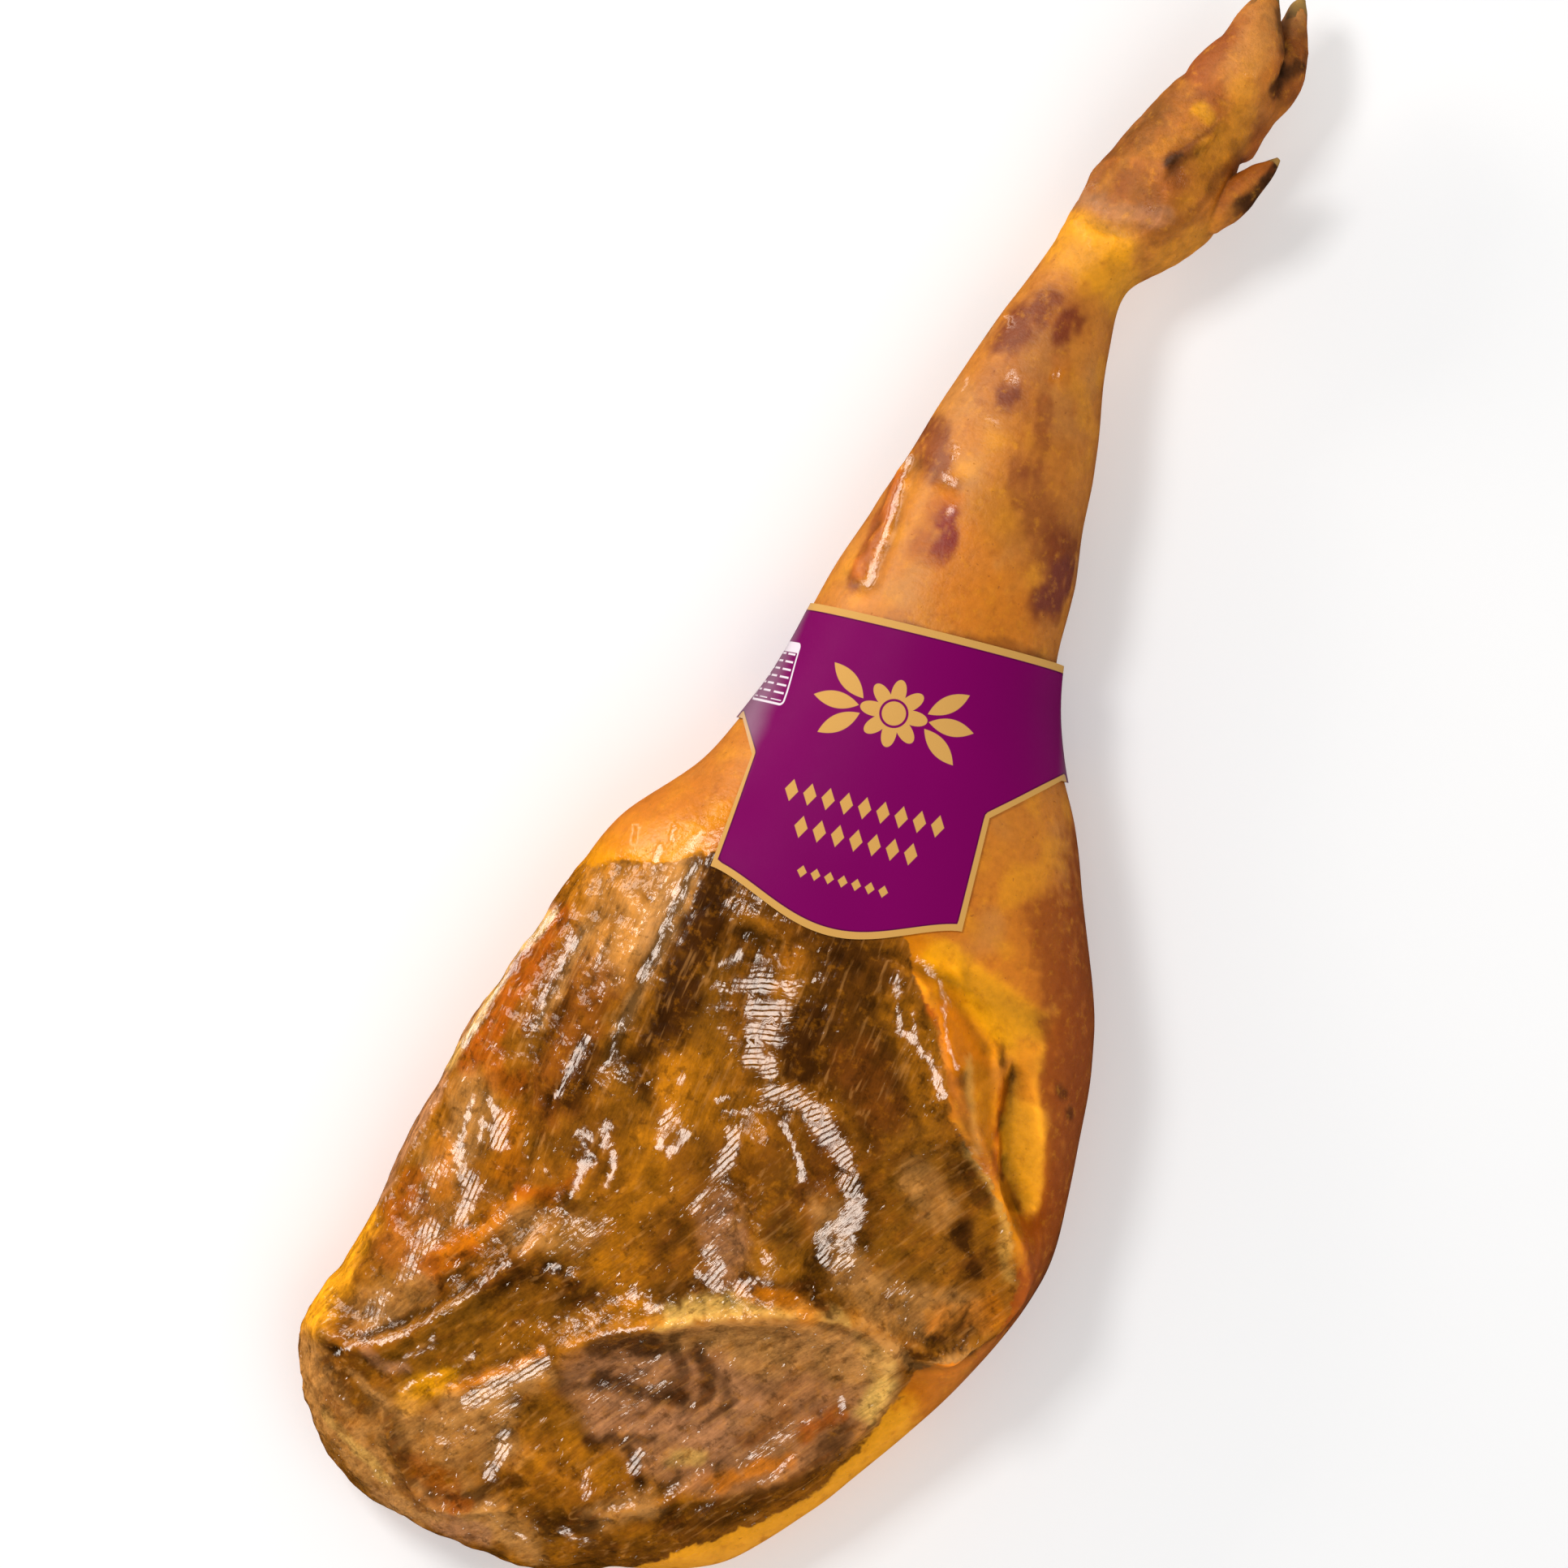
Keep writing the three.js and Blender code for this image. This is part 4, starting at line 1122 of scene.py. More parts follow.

# Fields of the fat and rind, with painted shade down the body's right edge and a painted shadow along the
# card band's top edge
RIND_STROKES = [
    ("rind", 22, 0.95, [(88, 6), (104, -40), (120, -84), (130, -130), (130, -170)]),
    ("rind", 12, 0.8, [(74, -26), (92, -52), (104, -82)]),
    ("yellow", 12, 0.6, [(-98, -80), (-84, -68), (-70, -58)]),
    ("orange", 14, 0.5, [(-80, -40), (-92, -60)]),
    ("orange", 9, 0.8, [(30, -60), (40, -62), (52, -64)]),
    ("yellow", 8, 0.9, [(40, -58), (58, -62), (76, -68)]),
    ("orange", 6, 0.7, [(50, -80), (62, -90), (72, -104)]),
    ("straw", 7, 0.95, [(86, -78), (96, -96), (106, -114), (109, -130)]),
    ("orange", 6, 0.6, [(86, -78), (92, -92)]),
    ("amber", 7, 0.7, [(72, -96), (78, -110), (84, -120)]),
    ("cream", 1.6, 0.35, [(66, -90), (74, -106), (84, -122)]),
    ("rust", 2.2, 0.9, [(84, -94), (88, -108), (93, -122), (102, -134), (110, -141), (117, -148)]),
    ("rind", 4, 0.9, [(98, -84), (108, -104), (116, -122), (120, -140)]),
    ("brown", 3.2, 0.6, [(62, -98), (74, -110), (86, -120), (98, -131)]),
    ("amber", 3.5, 0.6, [(98, -131), (108, -143), (116, -154)]),
    ("umber", 2.4, 0.7, [(74, -80), (78, -87)]),
    # Painted shade down the body's right edge
    ("umber", 3, 0.5, [(117, -56), (122, -80), (126, -100), (130, -125), (133, -150), (132, -172)]),
    ("umber", 2.2, 0.6, [(103, -86), (105, -87)]),
    ("umber", 2.2, 0.6, [(110, -92), (112, -94)]),
    ("rust", 12, 0.5, [(110, -200), (106, -224)]),
    ("orange", 12, 0.9, [(108, -204), (104, -226), (100, -240)]),
    ("straw", 13, 0.95, [(98, -236), (90, -262), (76, -290), (56, -308), (30, -328), (0, -342)]),
    ("yellow", 13, 0.8, [(-34, 222), (-18, 220), (2, 212)]),
    ("yellow", 6, 0.9, [(-30, 226), (-20, 225), (-8, 226)]),
    ("orange", 18, 0.7, [(-14, 88), (-4, 78), (10, 70)]),
    ("amber", 12, 0.5, [(-12, 112), (-8, 108)]),
    ("bruise", 13, 0.35, [(-20, 192), (-24, 176), (-24, 156)]),
    ("bruise", 16, 0.25, [(-4, 156), (2, 132), (12, 108)]),
    ("bruise", 7, 0.9, [(-24, 194), (-29, 185), (-33, 174)]),
    ("bruise", 5.5, 1.0, [(-13, 192), (-15, 184)]),
    ("rust", 5, 0.4, [(-11, 174), (-9, 168)]),
    ("bruise", 5, 0.95, [(-23, 155), (-25, 152)]),
    ("bruise", 4, 0.5, [(-8, 158), (-5, 146), (-3, 130)]),
    ("bruise", 8, 0.85, [(-46, 130), (-42, 122), (-38, 118)]),
    ("bruise", 8, 0.5, [(-6, 126), (6, 116), (16, 106)]),
    ("bruise", 8, 0.8, [(18, 110), (23, 98), (23, 84)]),
    ("plum", 5.5, 0.95, [(24, 102), (25, 94), (23, 86)]),
    ("orange", 5, 0.9, [(-31, 113), (-28, 109)]),
    ("rust", 8, 0.7, [(-30, 100), (-29, 86)]),
    ("crimson", 5, 1.0, [(-27, 99), (-25, 88)]),
    ("rust", 3, 0.9, [(-51, 108), (-49, 86), (-50, 62)]),
    # A painted shadow on the shank along the card band's top edge
    ("brown", 3, 0.6, [(-32, 52), (0, 59), (30, 66)]),
    ("brown", 13, 0.25, [(-28, 252), (-14, 252), (0, 252)]),
    ("blush", 5, 0.5, [(-31, 241), (-20, 238), (-8, 239), (2, 242)]),
    ("bruise", 7, 0.6, [(-5, 318), (-9, 303)]),
    ("brown", 5, 0.4, [(-20, 270), (-14, 290)]),
    ("yellow", 3.5, 0.95, [(-2, 287), (2, 286)]),
    ("olive", 6, 0.4, [(-22, 262), (-14, 280)]),
    ("brown", 3.4, 0.9, [(-4, 263), (0, 269), (7, 280)]),
    ("umber", 1.8, 0.9, [(-4, 263), (-1, 268)]),
    ("brown", 3, 0.6, [(5, 236), (13, 250), (19, 266), (21, 278)]),
    ("tan", 9, 0.3, [(4, 334), (8, 322), (7, 304)]),
    ("yellow", 7, 0.35, [(10, 300), (15, 288), (11, 274)]),
    ("tan", 5, 0.7, [(18, 342), (19, 336)]),
    ("brown", 6, 0.7, [(21, 332), (25, 322), (27, 311)]),
    ("umber", 3, 0.7, [(12, 336), (15, 330), (19, 324)]),
    ("umber", 3, 0.8, [(28, 322), (24, 314), (23, 308)]),
    ("umber", 1.6, 0.9, [(22, 318), (23, 315)]),
    ("umber", 3.5, 0.95, [(36, 282), (34, 270), (28, 254)]),
    ("skin", 10, 0.8, [(10, 226), (18, 236), (26, 248)]),
    ("yellow", 7, 0.4, [(12, 228), (20, 240)]),
]

# Where fat and rind are as wet as the meat: half width, path
WET_STROKES = [
    (12, [(26, -58), (50, -68), (72, -84), (86, -104), (104, -126), (112, -140)]),
    (10, [(-96, -80), (-74, -62), (-58, -44)]),
    (12, [(97, -222), (88, -250), (64, -288), (28, -322)]),
    (2, [(-49, 114), (-46, 90), (-45, 64)]),
]

# Level even fields of the meat without glints: half width, path
CALM_STROKES = [
    (11, [(-51, -58), (-51, -95), (-47, -128)]),
    (14, [(14, -70), (26, -96), (42, -122)]),
    (9, [(4, -104), (8, -122)]),
    (10, [(20, -162), (28, -184)]),
    (16, [(76, -140), (84, -160), (96, -176)]),
]

# Slow drifts of the ground colour: pigment, strength, rise from and to, size, seed
MEAT_DRIFTS = [
    ("olive", 0.6, -0.2, 0.5, 26, 31),
    ("amber", 0.5, 0.05, 0.7, 18, 32),
    ("umber", 0.6, 0.05, 0.6, 13, 33),
]
RIND_DRIFTS = [("tan", 0.4, 0, 0.6, 22, 34), ("yellow", 0.4, 0, 0.6, 15, 36)]


def blended(first, second, amount):
    """Two colours mixed by an amount for each place."""
    first, second = np.array(first), np.array(second)
    return first + (second - first) * np.clip(amount, 0, 1)[:, None]


def drifted(places, base, drifts, colours):
    """A ground colour with its slow drifts."""
    for name, strength, low, high, size, seed in drifts:
        amount = strength * smoothstep(low, high, noise(places, size, seed))
        base = blended(base, getattr(colours, name), amount)
    return base


def painted(places, base, plots, strokes, colours, wander):
    """A base colour with every plot and stroke laid over it, their edges wandering by a few millimetres."""
    plot_x = places[:, 0] + noise(places, 6, 25)
    for name, strength, edge, _, outline in plots:
        depth = inside_outline(outline, plot_x, places[:, 1])
        base = blended(base, getattr(colours, name), strength * smoothstep(-edge / 2, edge / 2, depth))
    x, y = (places[:, i] + wander * layered(places, PAINT_WANDER[i]) for i in range(2))
    uneven = layered(places, PAINT_UNEVEN)
    for name, half_width, strength, path in strokes:
        fade = stroke(path, half_width, x, y) * (1 + uneven)
        base = blended(base, getattr(colours, name), strength * smoothstep(0.12, 0.8, fade))
    return base


def meat_colour(places, colours):
    """Brown meat that drifts to olive, amber and umber, with its stains."""
    base = np.tile(np.array(colours.meat), (len(places), 1))
    base = drifted(places, base, MEAT_DRIFTS, colours)
    return painted(places, base, PLOTS, MEAT_STROKES, colours, 3.0)


def rind_colour(places, angle, colours):
    """Orange tan skin, deeper on the body, with painted shade down its right side and darker underneath, dark
    at the toes, with its stains.
    """
    towards_body = smoothstep(40, -60, places[:, 1])
    base = blended(colours.skin, colours.orange, 0.75 * towards_body)
    # Painted shade down the right side, where the light from the left falls off, and darker underneath
    beside = smoothstep(0.75, 0.0, np.sin(angle)) * smoothstep(-0.3, 0.6, np.cos(angle))
    deeper = np.clip(0.75 * beside + 0.5 * smoothstep(0.0, -0.5, np.sin(angle)), 0, 0.9)
    base = blended(base, colours.rind, deeper * (0.35 + 0.65 * towards_body))
    base = drifted(places, base, RIND_DRIFTS, colours)
    foot = smoothstep(FOOT_START + 8, FOOT_START + 40, places[:, 1])
    base = blended(base, colours.rind, foot * (0.3 + 0.4 * smoothstep(-0.4, 0.5, noise(places, 12, 35))))
    return painted(places, base, FAT_PLOTS, RIND_STROKES, colours, 2.0)


def wetness(places, meat):
    """How wet each place is: the meat is, and the fat beside it."""
    wet = meat.copy()
    for half_width, path in WET_STROKES:
        wet = np.maximum(wet, stroke(path, half_width, places[:, 0], places[:, 1]))
    return wet


def gleam_looks(places, normals):
    """What turns the surface's normals, and how it gleams, each for every place and under its name.

    A gleam lean makes wet patches face the point overhead and calm fields lie level. A glint lean
    would turn the rest of the surface that way, for small glints.
    """
    x, y = (places[:, i] + layered(places, GLEAM_WANDER[i]) for i in range(2))
    broken = 1 - 0.3 * smoothstep(-0.1, 0.5, noise(places, 4.5, 45))
    turned_share, calm, rippled, aside, level = np.zeros((5, len(places)))
    for half_width, share, degrees, path in GLEAMS:
        close, distance = near_path(path, x, y, 2 * half_width + 2)
        amount = smoothstep(1.7 * half_width + 1.0, 0.5 * half_width, distance)
        facing = (0.4 + 0.6 * share) * amount * (share + (1 - share) * broken[close])
        turned_share[close] = np.maximum(turned_share[close], facing)
        calm[close] = np.maximum(calm[close], smoothstep(0.3, 0.9, share) * amount)
        if degrees is not None:
            angle = math.radians(degrees)
            reach = smoothstep(1.8 * half_width + 2.0, half_width, distance)
            stronger = reach > rippled[close]
            chosen = close[stronger]
            rippled[chosen] = reach[stronger]
            aside[chosen] = places[chosen, 1] * math.cos(angle) - places[chosen, 0] * math.sin(angle)
    for half_width, path in CALM_STROKES:
        level = np.maximum(level, stroke(path, half_width, x, y))
    level *= 1 - turned_share
    calm = np.maximum(calm, level)
    aim = np.array(GLEAM_AIM)
    wanted = (aim[:2] - places[:, :2]) / (aim[2] - places[:, 2:])
    upward = normals[:, 2:] > STEEPEST_GLEAM
    turn = (wanted * normals[:, 2:] - normals[:, :2]) * upward
    lean = turned_share[:, None] * turn - 0.8 * level[:, None] * normals[:, :2] * upward
    glint = (1 - np.maximum(turned_share, calm))[:, None] * turn
    flat = np.zeros(len(places))
    leans = {"gleam_lean": np.column_stack([lean, flat]), "glint_lean": np.column_stack([glint, flat])}
    return leans, {"calm": calm, "rippled": rippled, "ripple_aside": aside}


def hoof_shares(places):
    """How far along its toe or dewclaw each place is, 0 away from them and 1 at a tip."""
    share = np.zeros(len(places))
    for stops in HOOVES.values():
        root, tip = np.array(stops[0][:3]), np.array(stops[-1][:3])
        axis = tip - root
        run = ((places - root) @ axis) / (axis @ axis)
        off_axis = np.linalg.norm(places - root - np.clip(run, 0, 1)[:, None] * axis, axis=1)
        close = off_axis < 1.7 * max(row[3] for row in stops) * (1.15 - np.clip(run, 0, 1))
        share = np.maximum(share, np.where(close, np.clip(run, 0, 1.1), 0))
    return share


class Wire:
    """A shader socket whose sums and products add Math nodes."""

    def __init__(self, board, socket):
        self.board = board
        self.socket = socket

    def reckon(self, operation, *others):
        return self.board.maths(operation, self, *others)

    def __add__(self, other):
        return self.reckon("ADD", other)

    __radd__ = __add__

    def __sub__(self, other):
        return self.reckon("SUBTRACT", other)

    def __rsub__(self, other):
        return self.board.maths("SUBTRACT", other, self)

    def __mul__(self, other):
        return self.reckon("MULTIPLY", other)

    __rmul__ = __mul__

    def __truediv__(self, other):
        return self.reckon("DIVIDE", other)

    def __pow__(self, other):
        return self.reckon("POWER", other)


class Board:
    """One material and the nodes that are laid into it."""

    def __init__(self, name):
        self.material = bpy.data.materials.new(name)
        self.material.use_nodes = True
        self.tree = self.material.node_tree
        self.tree.nodes.clear()

    def node(self, kind, settings=None, values=None, output=0):
        """Adds a node with its settings and socket values, and gives one of its outputs."""
        made = self.tree.nodes.new(kind)
        for name, value in (settings or {}).items():
            setattr(made, name, value)
        for name, value in (values or {}).items():
            if isinstance(value, Wire):
                self.tree.links.new(value.socket, made.inputs[name])
            else:
                made.inputs[name].default_value = value
        return Wire(self, made.outputs[output]) if len(made.outputs) else made

    def maths(self, operation, *values):
        return self.node("ShaderNodeMath", {"operation": operation}, dict(enumerate(values)))

    def vector(self, operation, *values):
        return self.node("ShaderNodeVectorMath", {"operation": operation}, dict(enumerate(values)))

    def scaled(self, vector, share):
        """A vector times a number."""
        return self.node("ShaderNodeVectorMath", {"operation": "SCALE"}, {0: vector, "Scale": share})

    def kept(self, name, output="Fac"):
        """The number, or the Color or Vector, that the mesh keeps under a name."""
        return self.node("ShaderNodeAttribute", {"attribute_name": name}, output=output)

    def place(self):
        """Where the surface is, in millimetres."""
        return self.scaled(self.node("ShaderNodeTexCoord", output="Object"), 1 / MM)

    def noise(self, spot, size, detail=2.0, rough=0.5, shift=None):
        """Smooth random values round 0, from about -0.5 to 0.5, in lumps about size across."""
        if shift:
            spot = self.vector("ADD", spot, shift)
        values = {"Vector": spot, "Scale": 1 / size, "Detail": detail, "Roughness": rough}
        return self.node("ShaderNodeTexNoise", None, values) - 0.5

    def grain(self, spot, degrees, across, along, detail=2.0, rough=0.5, shift=None):
        """The same noise drawn out along fibres that run at an angle from +X."""
        if shift:
            spot = self.vector("ADD", spot, shift)
        values = {0: spot, "Angle": -math.radians(degrees)}
        turned_spot = self.node("ShaderNodeVectorRotate", {"rotation_type": "Z_AXIS"}, values)
        squeezed = self.vector("MULTIPLY", turned_spot, (1 / along, 1 / across, 1 / across))
        return self.noise(squeezed, 1.0, detail, rough)

    def rise(self, value, low, high):
        """0 below low, 1 above high, and a smooth rise between."""
        values = {"Value": value, "From Min": low, "From Max": high}
        return self.node("ShaderNodeMapRange", {"interpolation_type": "SMOOTHSTEP"}, values)

    def mix(self, amount, first, second, blend="MIX"):
        """Two colours mixed by an amount."""
        settings = {"data_type": "RGBA", "blend_type": blend, "clamp_factor": True}
        return self.node("ShaderNodeMix", settings, {0: amount, 6: first, 7: second}, output=2)

    def dyed(self, colour, amount, dye):
        """A colour mixed by an amount with a pigment."""
        return self.mix(amount, colour, (*dye, 1))

    def toned(self, colour, tone):
        """A colour made darker or lighter by a number."""
        return self.mix(1.0, colour, self.grey(tone), "MULTIPLY")

    def leaned(self, lean, spare, share):
        """The surface's normal with one lean that the mesh keeps and a share of another."""
        plain = self.node("ShaderNodeNewGeometry", output="Normal")
        lean = self.vector("ADD", self.kept(lean, "Vector"), self.scaled(self.kept(spare, "Vector"), share))
        return self.vector("NORMALIZE", self.vector("ADD", plain, lean))

    def bump(self, height, **values):
        """A normal for a height in millimetres."""
        values = {"Strength": 1.0, "Distance": MM, "Height": height, **values}
        return self.node("ShaderNodeBump", None, values)

    def grey(self, value):
        """A grey colour of a value."""
        return self.node("ShaderNodeCombineColor", None, {0: value, 1: value, 2: value})

    def finish(self, **values):
        """Ends the material in a shader with the given socket values."""
        titles = [name.replace("_", " ").title().replace("Ior", "IOR") for name in values]
        shader = self.node("ShaderNodeBsdfPrincipled", None, dict(zip(titles, values.values())))
        self.node("ShaderNodeOutputMaterial", None, {"Surface": shader})
        return self.material


class HamBoard(Board):
    """The ham's material, with the noises and the looks of each place that its parts share."""

    def __init__(self, colours):
        super().__init__("cured_ham")
        self.colours = colours
        self.spot = self.place()
        self.slant = self.kept("slant")
        self.foot = self.kept("foot")
        self.wet = self.kept("wet")
        self.calm = self.kept("calm")
        self.hollow = self.kept("hollow")
        self.broad = self.noise(self.spot, 11.0, 3.0, 0.6)
        self.patchy = self.noise(self.spot, 3.2)
        self.blotch = self.noise(self.spot, 6.0, 5.0, 0.65, shift=(50, 0, 0))
        self.golden = self.noise(self.spot, 5.0, 5.0, 0.65, shift=(0, 50, 0))
        self.mottle = self.noise(self.spot, 2.4, 5.0, 0.75, shift=(50, 50, 0))
        self.fibres = self.along_fibres(2.4, 18, 16)
        self.threads = self.along_fibres(0.9, 6, 6, rough=0.6, shift=(90, 0, 90))
        self.pores = self.rise(self.noise(self.spot, 1.7, 1.0, 0.4), 0.24, 0.3)
        self.meat = self.rise(self.kept("meat_depth") + 5.0 * self.patchy + 4.0 * self.broad, -0.9, 0.9)

    def along_fibres(self, across, along_straight, along_slanted, rough=0.5, shift=None):
        """Noise drawn out along the fibres, straight up the leg or slanted."""
        straight = self.grain(self.spot, STRAIGHT_FIBRES, across, along_straight, rough=rough, shift=shift)
        slanted = self.grain(self.spot, SLANTED_FIBRES, across, along_slanted, rough=rough, shift=shift)
        return straight * (1 - self.slant) + slanted * self.slant

    def flesh(self):
        """The meat's colour with blotches, streaks, seams and fibres, with painted shade in its hollows and
        painted light on its ridges.
        """
        seams = self.grain(self.spot, STRAIGHT_FIBRES, 7, 20, detail=1.5, shift=(0, 0, 90))
        seams = self.rise(seams.reckon("ABSOLUTE"), 0.022, 0.004) * (1 - self.slant)
        streaks = self.grain(self.spot, SLANTED_FIBRES, 3.4, 24, shift=(90, 90, 0))
        streaks = self.rise(streaks, 0.02, 0.12) * self.slant
        paint = self.kept("meat_paint", "Color")
        paint = self.dyed(paint, 0.5 * self.rise(self.blotch, 0.04, 0.16), self.colours.umber)
        paint = self.dyed(paint, 0.3 * streaks, self.colours.brown)
        paint = self.dyed(paint, 0.15 * seams, self.colours.umber)
        paint = self.dyed(paint, 0.3 * self.rise(self.golden, 0.0, 0.2), self.colours.amber)
        paint = self.dyed(paint, 0.25 * self.rise(self.fibres, 0.06, 0.2), self.colours.tan)
        tone = 1.0 + 0.5 * self.fibres + 0.8 * self.threads + self.mottle + 0.3 * self.patchy
        # Painted shade in the hollows and painted light on the ridges
        tone = tone - 0.9 * self.hollow
        return self.toned(paint, tone.reckon("MAXIMUM", 0.35).reckon("MINIMUM", 1.5))

    def rind(self):
        """The colour of fat, skin and foot with blotches and pores, with painted shade in its hollows and
        painted light on its ridges.
        """
        paint = self.kept("rind_paint", "Color")
        paint = self.dyed(paint, 0.35 * self.rise(self.blotch, 0.0, 0.25), self.colours.rind)
        paint = self.dyed(paint, 0.3 * self.rise(self.golden, 0.02, 0.25), self.colours.yellow)
        # Painted shade in the hollows and painted light on the ridges
        tone = 1.0 + 0.3 * self.patchy + (0.4 + 0.4 * self.foot) * self.mottle - 0.6 * self.hollow
        return self.dyed(self.toned(paint, tone), 0.35 * self.pores, self.colours.bruise)

    def colour(self):
        """Meat and rind, and horn on the toes."""
        horny = self.rise(self.kept("horn") + 0.5 * self.patchy + 0.3 * self.fibres, 0.45, 0.75)
        paint = self.mix(self.meat, self.rind(), self.flesh())
        return self.mix(horny, paint, self.kept("horn_paint", "Color"))

    def glint(self):
        """1 in the small glints of the meat, which lie together in clusters."""
        specks = self.grain(self.spot, 78, 1.4, 6.0, rough=0.6, shift=(0, 50, 50))
        return self.rise(specks, 0.11, 0.17) * self.rise(self.broad, 0.0, 0.09) * self.meat

    def meat_height(self, glint):
        """Height of the meat's oily film, fibres and ripples, in millimetres."""
        film = self.noise(self.spot, 6.0, 1.0, 0.4, shift=(90, 0, 0))
        speckle = self.noise(self.spot, 2.0, 1.0, 0.4, shift=(0, 90, 0))
        even = self.calm.reckon("MAXIMUM", glint)
        film = (1.3 * film + 0.3 * speckle) * (1 - 0.75 * even)
        strands = (0.35 * self.fibres + 0.12 * self.threads) * (1 - 0.6 * even)
        warp = 1.2 * self.broad + 0.25 * self.patchy
        ripple = ((self.kept("ripple_aside") / RIPPLE_PITCH + warp) * math.pi).reckon("SINE")
        ripple = ripple.reckon("ABSOLUTE").reckon("MINIMUM", 0.5)
        uneven = self.rise(self.noise(self.spot, 7.0, shift=(0, 0, 50)), -0.16, 0.12)
        rippled = self.kept("rippled") * (0.25 + 0.75 * uneven)
        return (film + strands) * (1 - 0.4 * rippled) + 0.22 * ripple * rippled

    def rind_height(self):
        """Height of the unevenness of fat, skin and foot, in millimetres."""
        grainy = self.noise(self.spot, 1.1)
        uneven = (0.25 + 0.2 * self.wet) * self.patchy + (0.15 + 0.5 * self.foot) * self.mottle
        return (uneven + 0.1 * grainy - 0.1 * self.pores) * (1 - 0.6 * self.calm)


def ham_material(colours):
    """Oily dried meat, translucent fat and waxy rind."""
    board = HamBoard(colours)
    glint = board.glint()
    height = board.meat_height(glint) * board.meat + board.rind_height() * (1 - board.meat)
    roughness = 0.45 - 0.28 * board.wet + 0.1 * board.patchy
    return board.finish(
        base_color=board.colour(),
        roughness=roughness.reckon("MAXIMUM", 0.14),
        normal=board.bump(height, Normal=board.leaned("gleam_lean", "glint_lean", glint)),
        specular_ior_level=0.5,
        specular_tint=(1.0, 0.88, 0.78, 1.0),
    )


